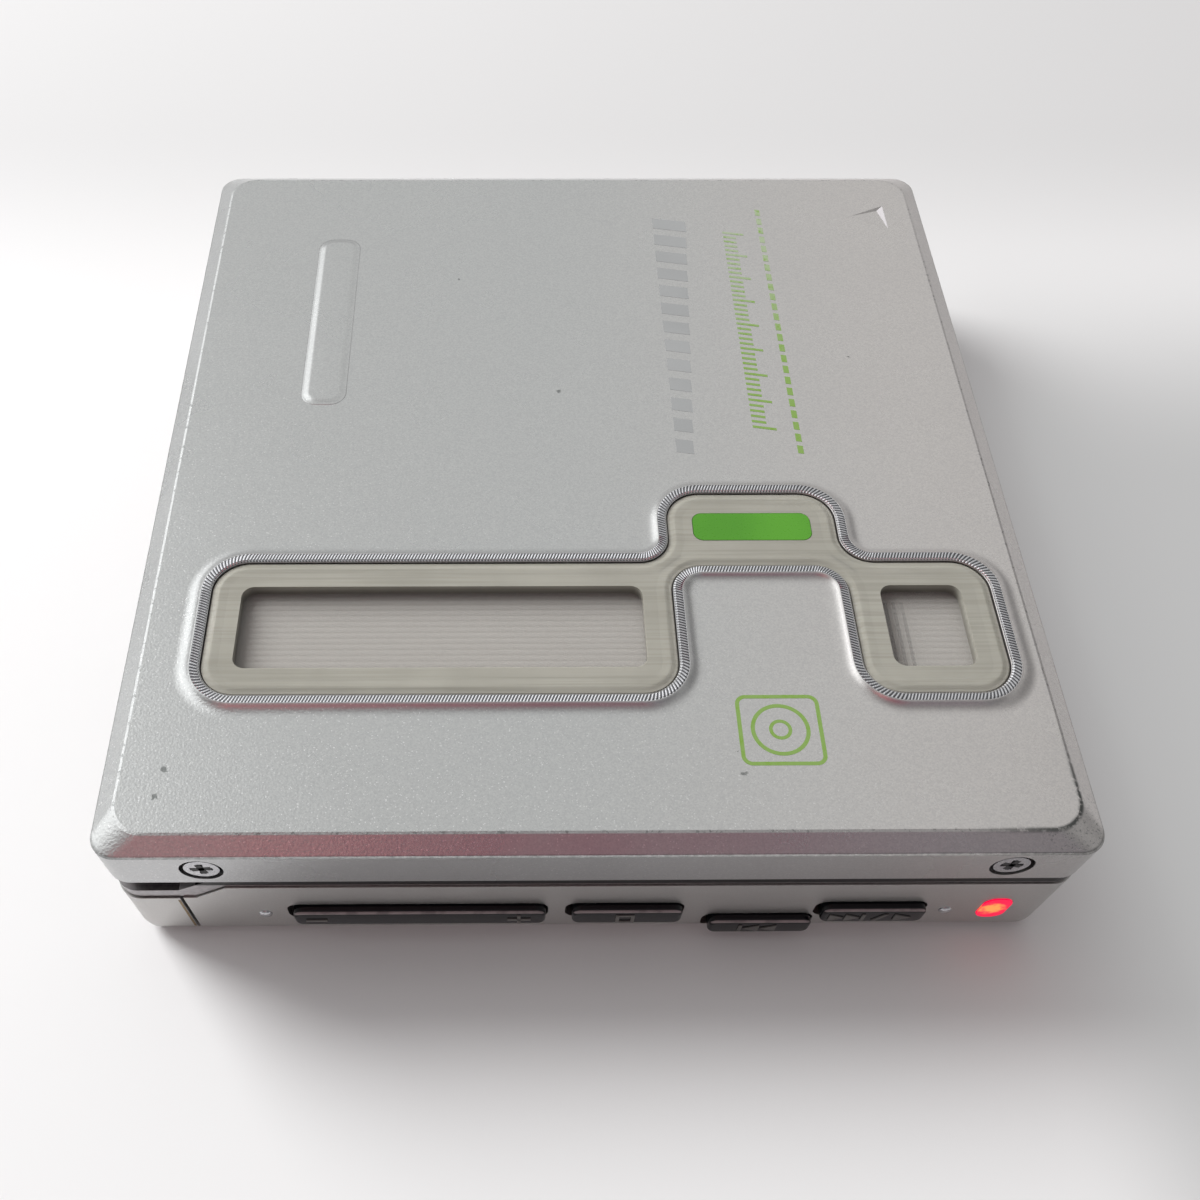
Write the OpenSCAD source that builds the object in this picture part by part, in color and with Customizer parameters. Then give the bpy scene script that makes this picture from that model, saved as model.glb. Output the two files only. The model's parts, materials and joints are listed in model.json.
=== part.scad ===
// Portable minidisc player with a hinged lid that carries the cartridge, and the drive in the base.
// Millimetres, +Z up, +X to the right, buttons on the -Y side, origin at the middle of the underside.

/* [Body] */
// Room from the left side to the cartridge
hinge_room = 8.8; // [8.6:0.1:10]
// Room from the cartridge to the right side
slot_room = 3.3; // [3:0.1:4]
// Room from the cartridge to the front and back sides
side_room = 7; // [6.8:0.1:9]
// Plan radius of the upright corners
corner_r = 2.2; // [2.2:0.1:3]
// Height of the base wall above the deck
base_over = 1.4; // [1.2:0.1:2]
// Thickness of the base wall
base_wall = 1.2; // [1:0.1:1.4]
// Thickness of the base floor
floor_t = 1; // [0.8:0.1:1.1]
// Radius of the bottom edge
bottom_r = 1.8; // [1:0.1:1.9]

/* [Lid] */
// Thickness of the flat top sheet
lid_sheet = 0.6; // [0.5:0.05:0.7]
// Thickness of the lid rim
lid_wall = 0.8; // [0.6:0.05:0.9]
// Width of the bevel round the top
bevel_in = 1.7; // [1:0.1:2]
// Fall of the bevel round the top
bevel_drop = 0.95; // [0.6:0.05:1.2]
// Plan corner radius of the flat inside the bevel
flat_r = 2.8; // [2:0.1:3.5]
// Height of the lip round the window
lip_h = 0.45; // [0.2:0.05:0.6]
// Width of the lip round the window
lip_w = 1.8; // [1.4:0.1:2.2]

/* [Middle strip] */
// Height of the strip between lid and base
strip_t = 0.95; // [0.8:0.05:1.2]
// How far the strip stands in from the body sides
strip_inset = 0.15; // [0.1:0.05:0.3]
// Open line between the strip and the lid rim
seam_gap = 0.35; // [0.3:0.05:0.6]
// Fine shadow line under the strip
strip_line = 0.12; // [0.08:0.02:0.2]
// Step down of the strip at the hinge end
hinge_drop = 2; // [1.9:0.05:2.1]
// Length of the stepped hinge end, from the left side
hinge_end = 6.8; // [6.3:0.1:7.3]

/* [Window] */
// Window inlay, in from the left side
win_left = 6.8; // [6:0.1:8]
// Window inlay, in from the right side
win_right = 4.4; // [4.2:0.1:5]
// Window inlay, back from the front side
win_front = 14.2; // [13:0.1:16]
// Depth of the long and short parts
win_d = 14; // [13:0.1:16]
// Width of the short part
short_w = 12.6; // [11.5:0.1:14]
// Width of the bridge between the parts
bridge_w = 15.6; // [14:0.1:17]
// Depth of the bridge behind the parts
bridge_d = 8.1; // [7.6:0.1:9]
// Radius of the outward corners
win_r = 3.2; // [2.6:0.1:3.6]
// Radius of the inward corners
win_in_r = 2.8; // [2.4:0.1:3.2]
// Border from inlay edge to window opening
win_border = 2.7; // [2.3:0.1:3]
// Corner radius of the window openings
pane_r = 1.1; // [0.6:0.1:1.6]
// Thickness of the panes
pane_t = 0.5; // [0.3:0.05:0.6]
// Ledge that each pane is held by
pane_ledge = 0.8; // [0.5:0.1:1]
// Length of the green bar
bar_l = 10.8; // [8:0.2:12]
// Width of the green bar
bar_w = 3.15; // [2.4:0.05:4]
// Thickness of the green bar
bar_t = 0.35; // [0.25:0.05:0.5]

/* [Cartridge] */
// Cartridge size along X
cart_l = 68; // [67.5:0.1:68]
// Cartridge size along Y
cart_w = 72; // [71.5:0.1:72]
// Cartridge thickness
cart_t = 5; // [4.8:0.05:5]
// Room from the disc to the cartridge sides
disc_margin = 2; // [1.8:0.1:3]
// Disc thickness
disc_t = 1.2; // [1:0.1:1.4]
// Diameter of the hole in the disc
disc_hole = 11; // [10.6:0.1:12]

/* [Hinges] */
// Lid hinge axis, in from the left side
hinge_in = 1.5; // [1.4:0.05:1.6]
// Lid hinge pin radius
hinge_pin_r = 0.5; // [0.4:0.02:0.6]
// Hinge knuckle radius
knuckle_r = 0.95; // [0.85:0.02:0.95]
// Length of the battery door along the front
door_w = 5.4; // [5.2:0.05:5.6]
// Door pivot, in from the left side
door_pivot_x = 1.9; // [1.85:0.05:2]
// Door pivot, back from the front face
door_pivot_y = 23.8; // [23.4:0.1:24.4]
// Door pin radius
door_pin_r = 0.6; // [0.5:0.05:0.7]

/* [Buttons] */
// How far the buttons stand out
button_out = 0.8; // [0.4:0.1:1]
// Height of a button face
button_h = 2.6; // [2.2:0.1:2.7]
// Height of the upper row above the underside
button_z = 4.95; // [4.8:0.05:5.1]
// Step down of the previous button
button_step = 2.5; // [2.4:0.05:2.6]
// Gap round each button
button_gap = 0.22; // [0.15:0.01:0.26]
// Press of a button
button_press = 0.6; // [0.3:0.05:0.6]
// Length of the stop button
stop_l = 9.8; // [9:0.1:10.4]
// Length of the previous button
prev_l = 9.3; // [8.5:0.1:9.8]
// Length of the play button
play_l = 9.2; // [8.5:0.1:9.8]
// Gap from the volume rocker to the stop button
stop_space = 1.9; // [1.7:0.1:2.5]
// Gap from the stop button to the previous button
prev_space = 2.25; // [2:0.05:3]
// Gap from the play button to the right pin
pin_space = 2.05; // [1.8:0.05:2.5]
// Right pin to the middle of the lamp
lamp_space = 4.1; // [3.8:0.1:4.6]
// Middle of the lamp, in from the right side
lamp_in = 5.3; // [5:0.1:5.6]
// Left pin, in from the left side
pin_in = 11.95; // [11.5:0.05:12.5]
// Width of the lamp window
led_w = 2.5; // [2.4:0.1:3.2]
// Height of the lamp window
led_h = 4; // [3:0.1:4.4]
// Corner radius of the lamp window
led_r = 1.1; // [0.5:0.05:1.15]
// Radius of the bright pins in the front face
front_pin_r = 0.55; // [0.4:0.05:0.6]

/* [Drive] */
// Turntable radius
table_r = 6.9; // [6:0.1:7.5]
// Spindle shaft radius
spindle_r = 0.75; // [0.6:0.05:0.9]
// Motor radius
motor_r = 9; // [8:0.1:9.2]
// Guide rod and lead screw radius
rod_r = 1; // [0.8:0.05:1.1]
// Guide rod, right of the spindle
rod_x = 12.5; // [12.2:0.1:12.8]
// Lead screw, left of the spindle
screw_x = 12.5; // [12.2:0.1:12.8]
// Room from the motor to the lens at its inner end
lens_room = 6; // [5.8:0.1:7]
// Gear module
gear_m = 0.25; // [0.2:0.01:0.26]
// Teeth on the lead screw gear
screw_teeth = 14; // [14:4:18]
// Teeth on the idler gear
idler_teeth = 18; // [14:4:18]
// Teeth on the motor pinion
pinion_teeth = 10; // [10:4:14]
// Width of the gears
gear_w = 1.4; // [1:0.1:1.6]

/* [Boards and battery] */
// Board thickness
board_t = 0.8; // [0.6:0.1:0.8]
// Room from the battery to the right wall
battery_end = 6.1; // [5.5:0.1:8]
// Battery width
battery_w = 16.9; // [16:0.1:17]
// Battery thickness
battery_t = 6.1; // [5.8:0.1:6.1]
// Headphone jack bore radius
jack_r = 1.78; // [1.7:0.02:1.9]
// Jack barrel radius
jack_body_r = 2.5; // [2.3:0.05:2.5]

/* [Fits] */
// Radial clearance of a turning or sliding fit
run_fit = 0.05; // [0.03:0.01:0.08]
// Radial clearance of a pressed pin
press_fit = 0.01; // [0.01:0.01:0.02]
// Gap round an inlaid piece
inlay_gap = 0.1; // [0.06:0.01:0.15]
// Gap between parts that pass each other
pass_gap = 0.15; // [0.1:0.01:0.18]

/* [Hidden] */
$fn = 48;
eps = 0.02;

// Sides of the body, from the cartridge out.
body_w = hinge_room + cart_l + slot_room;
body_d = cart_w + 2 * side_room;
left = -body_w / 2;
right = body_w / 2;
front = -body_d / 2;
back = body_d / 2;
cart_x1 = right - slot_room;
cart_x = cart_x1 - cart_l;
cart_mid = cart_x + cart_l / 2;
cart_half = cart_w / 2;
slot_half = cart_half + 1.4;
disc_d = cart_l - 2 * disc_margin;
core_in = corner_r - 0.2;
locate_x = [cart_x + 4, cart_x1 - 4];
locate_y = 5 - cart_half;

// Levels from the floor up: battery, deck, cartridge, lid.
bay_z = floor_t + 0.4;
deck_t = 0.8;
deck_z = bay_z + battery_t + 0.4;
deck_z1 = deck_z + deck_t;
drive_z = deck_z - 2.6;
cart_z = deck_z1 + 1.5;
cart_z1 = cart_z + cart_t;
disc_z = cart_z + 1.8;
holder_t = 0.35;
holder_z = cart_z1 + 0.1;
slot_z = holder_z + 0.1;
flange_t = 0.68;
bezel_z = holder_z + holder_t + 0.05;
sheet_z = bezel_z + flange_t + eps;
top_z = sheet_z + lid_sheet;
bezel_top = top_z + 0.25;
rim_z = top_z - bevel_drop;
base_h = deck_z1 + base_over;
strip_z = base_h + strip_t;
lid_z = strip_z + seam_gap;
board_z = floor_t + 0.6;
board_top = board_z + board_t;

// Hinge line of the lid and of the battery door.
hinge_x = left + hinge_in;
hinge_z = base_h + 0.3;
dip_z = base_h - hinge_drop;
pin_y0 = cart_half + 0.6;
ear_y0 = cart_half + 2.2;
ear_y1 = cart_half + 3.4;
pin_y1 = cart_half + 5.2;
pivot_x = left + door_pivot_x;
pivot_y = front + door_pivot_y;
door_r = door_pivot_x - 0.05;
door_gap = 0.12;
door_seam = 0.3;
door_swing = door_pivot_x + 0.55;
door_x1 = left + door_w;
lug_z0 = 1.3;
lug_z1 = dip_z - 1.4;

// Inner faces of the base and the battery bay.
in_left = left + base_wall;
in_right = right - base_wall;
rail_x1 = in_right - 1.5;
in_front = front + base_wall;
in_back = back - base_wall;
flange_back = 0.65;
tact_out = 1.25;
flex_y = in_front + flange_back + button_press + 0.1 + tact_out;
flex_t = 0.4;
bay_y = flex_y + flex_t + 0.1;
bay_x = door_x1 + 0.4;
bay_back = bay_y + battery_w;
battery_l = in_right - battery_end - bay_x;

// Lid screws on the front and back rims.
lid_screw_x = [left + 8.5, right - 7];
lid_screw_z = lid_z + 2.4;
lid_head_r = 1.42;
lid_head_gap = 0.33;
lid_shank_r = 0.7;

// Arrow hollow at the back right of the lid: its tip, its far ends and its depth at the tip.
arrow_tip = [right - 4.6, back - 6.5];
arrow_near = arrow_tip - [3.9, 1.8];
arrow_low = arrow_tip - [0, 4.05];
arrow_deep = 0.35;

// Jacks and switches on the hidden sides.
inlet_x = in_right - 6.2;
jack_x = inlet_x - 8.9;
jack_z = board_top + jack_body_r + 0.1;
jack_l = 12.5;
hold_x = left + 18.5;
hold_z = jack_z;
hold_travel = 3;
slide_z = deck_z - 2.4;
slide_travel = 3;

// Posts that join deck, board and base, and the plate on the underside.
posts = [[cart_x1 - 2, bay_back + 2.8], [bay_x + 4, bay_back + 3.5],
  [bay_x + 2, in_back - 6.8], [inlet_x + 0.6, in_back - 17.8]];
post_r = 1.6;
screw_hole_r = 0.6;
plate_t = 0.15;

// Front row, from the lamp and the right pin leftward.
led_x = right - lamp_in;
pin_right = led_x - lamp_space;
pin_left = left + pin_in;
play_x = pin_right - pin_space - play_l / 2;
prev_x = play_x - play_l / 2 - 0.15 - prev_l / 2;
stop_x = prev_x - prev_l / 2 - prev_space - stop_l / 2;
rocker_x0 = pin_left + 2.2;
rocker_x1 = stop_x - stop_l / 2 - stop_space;
rocker_l = rocker_x1 - rocker_x0;
rocker_x = (rocker_x0 + rocker_x1) / 2;
pin_z = button_z - 0.4;
mark_t = 0.1;
mark_h = 1.15;
mark_w = 1.5;

// Window inlay.
win_x0 = left + win_left;
win_x3 = right - win_right;
win_x2 = win_x3 - short_w;
win_x1 = win_x2 - bridge_w;
win_y0 = front + win_front;
win_y1 = win_y0 + win_d;
win_y2 = win_y1 + bridge_d;
bridge_lap = 0.5;

// Gear train across the front of the pickup.
gear_y = 5;
screw_at = cart_mid - screw_x;
idler_at = screw_at - gear_m * (screw_teeth + idler_teeth) / 2;
pinion_at = idler_at - gear_m * (idler_teeth + pinion_teeth) / 2;
bracket_y = gear_y + gear_w + 1.2;
bracket_t = 1.6;
rear_y = in_back - 1.6;
block_front = 4.4;
block_back = 9.4;
lens_y = motor_r + lens_room;
pickup_travel = rear_y - 0.8 - block_back - lens_y;
window_end = lens_y + block_back + pickup_travel + 0.4;
pin_r = 0.5;

function unit(v) = v / norm(v);
function side(v) = [v[1], -v[0]];
function wrap(a) = a > 180 ? a - 360 : a < -180 ? a + 360 : a;
function at(p, i) = p[(i + len(p)) % len(p)];

// Corner i of a rounded path: centre, radius, first angle, turn, first and last points of its arc.
function corner(p, r, i) =
  let (
    d1 = unit(at(p, i - 1) - p[i]),
    d2 = unit(at(p, i + 1) - p[i]),
    half = acos(d1 * d2) / 2,
    t = r[i] / tan(half),
    c = p[i] + unit(d1 + d2) * r[i] / sin(half),
    s = p[i] + d1 * t,
    e = p[i] + d2 * t,
    a0 = atan2(s[1] - c[1], s[0] - c[0]),
    a1 = atan2(e[1] - c[1], e[0] - c[0])
  )
  [c, r[i], a0, wrap(a1 - a0), s, e];

// Points of a path with its corners rounded in n steps.
function rounded(p, r, n) = [for (i = [0:len(p) - 1])
  let (k = corner(p, r, i))
  each r[i] == 0 ? [p[i]] :
    [for (j = [0:n]) k[0] + k[1] * [cos(k[2] + k[3] * j / n), sin(k[2] + k[3] * j / n)]]];

// Path of a centred rectangle, counter-clockwise, and the same for given sides.
function rect_path(w, d) = [[-w, -d] / 2, [w, -d] / 2, [w, d] / 2, [-w, d] / 2];

// Window inlay outline, grown outward by u: corners and radii.
win_pts = [[win_x0, win_y0], [win_x1, win_y0], [win_x1, win_y1 - bridge_lap], [win_x2, win_y1 - bridge_lap],
  [win_x2, win_y0], [win_x3, win_y0], [win_x3, win_y1], [win_x2, win_y1], [win_x2, win_y2],
  [win_x1, win_y2], [win_x1, win_y1], [win_x0, win_y1]];
win_inward = [0, 0, 1, 1, 0, 0, 0, 1, 0, 0, 1, 0];
function win_path(u) = [for (i = [0:len(win_pts) - 1])
  win_pts[i] + u * (side(unit(win_pts[i] - at(win_pts, i - 1)))
    + side(unit(at(win_pts, i + 1) - win_pts[i])))];
function win_radii(u) = [for (k = win_inward) k == 1 ? win_in_r - u : win_r + u];
function win_outline(u) = rounded(win_path(u), win_radii(u), 8);

// One quarter turn or straight run at a time, a profile (outward, up) carried round a rounded path.
module carry(p, r) {
  for (i = [0:len(p) - 1]) {
    k = corner(p, r, i);
    n = corner(p, r, (i + 1) % len(p));
    d = unit(n[4] - k[5]);
    o = side(d);
    translate([k[0][0], k[0][1], 0])
      rotate([0, 0, k[3] > 0 ? k[2] : k[2] + k[3]])
        rotate_extrude(angle = abs(k[3]))
          translate([k[1], 0])
            scale([k[3] > 0 ? 1 : -1, 1])
              children();
    multmatrix([[o[0], 0, -d[0], n[4][0]], [o[1], 0, -d[1], n[4][1]], [0, 1, 0, 0], [0, 0, 0, 1]])
      linear_extrude(norm(n[4] - k[5]))
        children();
  }
}

// Box from its low and high corners.
module box(a, b) {
  translate(a)
    cube(b - a);
}

// Rectangle with rounded corners in the plane, from its low and high corners.
module round_rect(a, b, r) {
  translate(a + [r, 0])
    square(b - a - [2 * r, 0]);
  translate(a + [0, r])
    square(b - a - [0, 2 * r]);
  for (x = [a[0] + r, b[0] - r])
    for (y = [a[1] + r, b[1] - r])
      translate([x, y])
        circle(r);
}

// Upright slab with rounded corners, from its low and high corners.
module slab(a, b, r) {
  translate([0, 0, a[2]])
    linear_extrude(b[2] - a[2])
      round_rect([a[0], a[1]], [b[0], b[1]], r);
}

// Slab whose rounded outline faces along Y, from its low and high corners.
module y_slab(a, b, r) {
  translate([0, b[1], 0])
    rotate([90, 0, 0])
      linear_extrude(b[1] - a[1])
        round_rect([a[0], a[2]], [b[0], b[2]], r);
}

// Round bar along Y from y0 to y1.
module y_rod(x, z, r, y0, y1) {
  translate([x, y0, z])
    rotate([-90, 0, 0])
      cylinder(r = r, h = y1 - y0);
}

// Round bar along Z from z0 to z1.
module z_rod(x, y, r, z0, z1) {
  translate([x, y, z0])
    cylinder(r = r, h = z1 - z0);
}

module body_prism(inset, z0, z1) {
  slab([left + inset, front + inset, z0], [right - inset, back - inset, z1], corner_r - inset);
}

// Profile in X and Z carried through the whole depth.
module through_y(pts) {
  translate([0, back + 1, 0])
    rotate([90, 0, 0])
      linear_extrude(body_d + 2)
        polygon(pts);
}

// Solid rounded tub that the base shell and the battery door are cut from.
module outer_tub(wall, z1) {
  edge = rounded([[-core_in, 0], [0, 0], [0, z1], [-core_in, z1]], [0, bottom_r, 0, 0], 6);
  skin = rounded([[-core_in, 0], [0, 0], [0, z1], [-wall, z1], [-wall, floor_t], [-core_in, floor_t]],
    [0, bottom_r, 0, 0, 0, 0], 6);
  carry(rect_path(body_w, body_d), [corner_r, corner_r, corner_r, corner_r])
    polygon(wall > 0 ? skin : edge);
  box([left + core_in, front + core_in, 0], [right - core_in, back - core_in, wall > 0 ? floor_t : z1]);
}

module window_lip() {
  carry(win_path(0), win_radii(0))
    polygon([[0, sheet_z + 0.1], [0, top_z + lip_h - 0.17], [0.14, top_z + lip_h - 0.03],
      [0.72, top_z + lip_h], [0.95, top_z + lip_h * 0.88], [1.25, top_z + lip_h * 0.45],
      [lip_w - 0.3, top_z + lip_h * 0.15], [lip_w, top_z - eps], [lip_w, sheet_z + 0.1]]);
}

// Three-cornered hollow, deepest at its tip and running out to nothing on the far side.
module lid_arrow() {
  run = arrow_low - arrow_near;
  along = unit(run);
  reach = arrow_tip - arrow_near;
  deep = along[0] * reach[1] - along[1] * reach[0];
  tilt = atan(arrow_deep / deep);
  translate([arrow_near[0], arrow_near[1], top_z + eps])
    rotate([0, 0, atan2(run[1], run[0])])
      rotate([-tilt, 0, 0])
        linear_extrude(1)
          polygon([[0, 0], [norm(run), 0], [along * reach, deep / cos(tilt)]]);
}

module lid_screw_places() {
  for (x = lid_screw_x) {
    translate([x, front, lid_screw_z])
      rotate([-90, 0, 0])
        children();
    translate([x, back, lid_screw_z])
      rotate([90, 0, 0])
        children();
  }
}

// Thin level of the lid's bevel, its corners widening from the rim to the flat.
module bevel_level(inset, z) {
  r = corner_r + (flat_r - corner_r) * min(inset / bevel_in, 1);
  slab([left + inset, front + inset, z - eps], [right - inset, back - inset, z], r, $fn = 72);
}

module lid_shell() color("silver") {
  slope = bevel_drop / bevel_in;
  difference() {
    union() {
      body_prism(0, lid_z, rim_z - 0.12);
      hull() {
        bevel_level(0, rim_z - 0.12);
        bevel_level(0.1, rim_z + 0.1 * slope);
        bevel_level(bevel_in - 0.12, top_z - 0.12 * slope);
        bevel_level(bevel_in + 0.1, top_z);
      }
    }
    body_prism(lid_wall, lid_z - 1, rim_z - 0.3);
    hull() {
      body_prism(lid_wall, rim_z - 0.4, rim_z - 0.3);
      bevel_level(bevel_in + 0.2, sheet_z);
    }
    box([right - corner_r, -slot_half, lid_z - 1], [right + 1, slot_half, slot_z]);
    translate([0, 0, sheet_z - 1])
      linear_extrude(lid_sheet + 2)
        polygon(win_outline(0.8));
    lid_arrow();
    lid_screw_places()
      translate([0, 0, -1])
        cylinder(r = lid_head_r + lid_head_gap, h = lid_wall + 2);
  }
  window_lip();
}

module pane_cut(x0, x1, grow, z0, z1) {
  slab([x0 + win_border - grow, win_y0 + win_border - grow, z0],
    [x1 - win_border + grow, win_y1 - win_border + grow, z1], pane_r + grow);
}

module green_bar(grow, z0, z1) {
  mid = [(win_x1 + win_x2) / 2, (win_y1 + win_y2) / 2];
  slab([mid[0] - bar_l / 2 - grow, mid[1] - bar_w / 2 - grow, z0],
    [mid[0] + bar_l / 2 + grow, mid[1] + bar_w / 2 + grow, z1], 0.9 + grow);
}

module window_bezel() color([0.86, 0.86, 0.82]) {
  difference() {
    union() {
      translate([0, 0, bezel_z])
        linear_extrude(flange_t)
          polygon(win_outline(1.1));
      translate([0, 0, bezel_z + 0.2])
        linear_extrude(bezel_top - bezel_z - 0.2)
          polygon(win_outline(-1.2));
      carry(win_path(0), win_radii(0))
        polygon([[-inlay_gap, bezel_z + 0.3], [-inlay_gap, bezel_top - 0.3], [-0.35, bezel_top - 0.1],
          [-0.75, bezel_top], [-1.6, bezel_top], [-1.6, bezel_z + 0.3]]);
    }
    pane_cut(win_x0, win_x1, 0, bezel_z - 1, bezel_top + 1);
    pane_cut(win_x2, win_x3, 0, bezel_z - 1, bezel_top + 1);
    pane_cut(win_x0, win_x1, pane_ledge, bezel_z - 1, bezel_z + pane_t + eps);
    pane_cut(win_x2, win_x3, pane_ledge, bezel_z - 1, bezel_z + pane_t + eps);
    green_bar(run_fit, bezel_top - bar_t, bezel_top + 1);
  }
}

module window_pane_long() color([0.8, 0.85, 0.85, 0.5])
  pane_cut(win_x0, win_x1, pane_ledge - run_fit, bezel_z + eps, bezel_z + pane_t + eps);

module window_pane_short() color([0.8, 0.85, 0.85, 0.5])
  pane_cut(win_x2, win_x3, pane_ledge - run_fit, bezel_z + eps, bezel_z + pane_t + eps);

module green_inlay() color("limegreen")
  green_bar(0, bezel_top - bar_t, bezel_top + eps);

module lid_inner_frame() color([0.12, 0.12, 0.13]) {
  rail_in = cart_half + 1.3;
  rail_out = back - lid_wall - 0.1;
  rail_z = lid_z + 0.8;
  for (m = [0, 1])
    mirror([0, m, 0]) {
      difference() {
        box([hinge_x + 1.5, rail_in, rail_z], [rail_x1, rail_out, holder_z]);
        for (x = lid_screw_x)
          y_rod(x, lid_screw_z, lid_shank_r + press_fit, rail_out - 3.2, rail_out + 1);
        y_slab([cart_x + 8, rail_in - 1, rail_z + 0.7], [cart_x1 - 8, rail_out - 1, holder_z - 0.8], 0.6);
      }
      box([hinge_x + 1.6, ear_y1 + 0.3, dip_z + 1.4], [left + hinge_end + 2.9, pin_y1, rail_z + 0.1]);
      difference() {
        union() {
          y_rod(hinge_x, hinge_z, knuckle_r, ear_y0, ear_y1);
          translate([0, ear_y1, 0])
            rotate([90, 0, 0])
              linear_extrude(ear_y1 - ear_y0)
                polygon([[hinge_x - 0.5, hinge_z + 0.2], [hinge_x + 0.7, hinge_z - 0.6],
                  [hinge_x + 4, rail_z + 0.2], [hinge_x + 4, holder_z - 0.1],
                  [hinge_x - 0.4, holder_z - 0.1], [hinge_x - 0.5, lid_z + 0.2]]);
        }
        y_rod(hinge_x, hinge_z, hinge_pin_r + run_fit, ear_y0 - 1, ear_y1 + 1);
      }
    }
  box([hinge_x - 0.4, -rail_in - 1, rail_z + 0.4], [cart_x - 1.2, rail_in + 1, holder_z]);
}

module disc_holder() color([0.75, 0.76, 0.78]) {
  x0 = cart_x - 0.9;
  x1 = cart_x1 - 0.1;
  wall_in = cart_half + 0.25;
  wall_t = 0.4;
  lip_z = cart_z - 0.45;
  difference() {
    box([x0, -back + 1.5, holder_z], [x1, back - 1.5, holder_z + holder_t]);
    slab([x0 + 1, win_y0 - 1.4, holder_z - 1], [x1 - 1.5, win_y1 + 1.6, holder_z + 1], 2);
    slab([cart_mid - 17, 4, holder_z - 1], [cart_mid + 17, 28, holder_z + 1], 4);
  }
  for (m = [0, 1])
    mirror([0, m, 0]) {
      box([x0 + 0.3, wall_in, lip_z], [x1 - 0.4, wall_in + wall_t, holder_z + 0.1]);
      for (x = [[x0 + 0.3, cart_mid - 10], [cart_mid + 10, x1 - 0.4]])
        box([x[0], cart_half - 3, lip_z], [x[1], wall_in + 0.1, cart_z - 0.1]);
    }
  box([x0 + 0.3, -cart_half + 6, cart_z + 0.1], [x0 + 0.7, cart_half - 6, holder_z + 0.1]);
}

// Screw from its outer face inward: head with a cross recess, then a plain shank.
module cross_screw(head_r, head_t, shank_r, l) {
  difference() {
    cylinder(r = head_r, h = head_t);
    for (a = [0, 90])
      rotate([0, 0, a])
        translate([-head_r * 0.64, -head_r * 0.17, -1])
          cube([head_r * 1.28, head_r * 0.34, 1 + head_t * 0.65]);
  }
  translate([0, 0, head_t - 0.1])
    cylinder(r = shank_r, h = l - head_t + 0.1);
}

module lid_screws() color("gainsboro")
  lid_screw_places()
    translate([0, 0, 0.1])
      cross_screw(lid_head_r, lid_wall, lid_shank_r, 3.7);

module lid_catch() color("lightsteelblue")
  for (m = [0, 1])
    mirror([0, m, 0])
      difference() {
        box([rail_x1, ear_y0, deck_z1 + 0.3], [rail_x1 + 0.5, ear_y0 + 2.2, holder_z - 0.4]);
        box([rail_x1 - 1, ear_y0 - 1, cart_z - 0.9], [rail_x1 + 1, ear_y0 + 0.9, cart_z - 0.1]);
      }

module cart_half_shell(z0, z1, hollow_z0, hollow_z1) {
  difference() {
    slab([cart_x, -cart_half, z0], [cart_x1, cart_half, z1], 1.5);
    z_rod(cart_mid, 0, disc_d / 2 + 1, hollow_z0, hollow_z1);
  }
}

module cartridge_upper_shell() color([0.82, 0.83, 0.84])
  difference() {
    cart_half_shell(cart_z + cart_t / 2, cart_z1, cart_z, cart_z1 - 1);
    slab([cart_x + 5, -cart_half + 3, cart_z1 - 0.1], [cart_x1 - 4, cart_half - 22, cart_z1 + 1], 1);
  }

module cartridge_lower_shell() color([0.82, 0.83, 0.84])
  difference() {
    cart_half_shell(cart_z, cart_z + cart_t / 2, cart_z + 1, cart_z + cart_t);
    z_rod(cart_mid, 0, table_r + 2, cart_z - 1, cart_z + 2);
    slab([cart_mid - 9, 7, cart_z - 1], [cart_mid + 9, cart_half - 0.8, cart_z + 2], 1);
    box([cart_x + 3, 11, cart_z - 1], [cart_mid - 9.4, cart_half + 1, cart_z + 0.35]);
    for (x = locate_x)
      z_rod(x, locate_y, 1.7, cart_z - 1, cart_z + 1.2);
  }

module cartridge_shutter() color("gainsboro")
  box([cart_x + 3.2, 11.2, cart_z + 0.05], [cart_mid - 9.6, cart_half - 0.05, cart_z + 0.35]);

module cartridge_label() color("white")
  slab([cart_x + 5.1, -cart_half + 3.1, cart_z1 - 0.1], [cart_x1 - 4.1, cart_half - 22.1, cart_z1], 0.9);

module disc() color([0.6, 0.62, 0.7])
  difference() {
    z_rod(cart_mid, 0, disc_d / 2, disc_z, disc_z + disc_t);
    z_rod(cart_mid, 0, disc_hole / 2, disc_z - 1, disc_z + disc_t + 1);
  }

module disc_hub_plate() color("silver")
  difference() {
    z_rod(cart_mid, 0, disc_hole / 2 + 2.7, disc_z + disc_t, disc_z + disc_t + 0.5);
    z_rod(cart_mid, 0, 1, disc_z, disc_z + disc_t + 1);
  }

// Opening for a button in the front wall.
module button_hole(x, z, l, h) {
  y_slab([x - l / 2 - button_gap, front - 1, z - h / 2 - button_gap],
    [x + l / 2 + button_gap, in_front + 1, z + h / 2 + button_gap], 1.1);
}

module door_plan(grow) {
  translate([left - 1, front - 1])
    square([door_w + 1 + grow, door_pivot_y + 1]);
  translate([pivot_x, pivot_y])
    circle(door_r + grow);
}

module door_lug(z0, z1) {
  difference() {
    union() {
      z_rod(pivot_x, pivot_y, door_r, z0, z1);
      box([pivot_x - 0.5, pivot_y, z0], [pivot_x + door_r, pivot_y + door_swing + 1, z1]);
    }
    z_rod(pivot_x, pivot_y, door_pin_r + press_fit, z0 - 1, z1 + 1);
  }
}

// Shallow recess in the underside, or the plate that fills it.
module plate_recess(inset, z0) {
  slab([inset - 15, inset + 10, z0], [15 - inset, 30 - inset, plate_t], 1.5 - inset);
}

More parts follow.
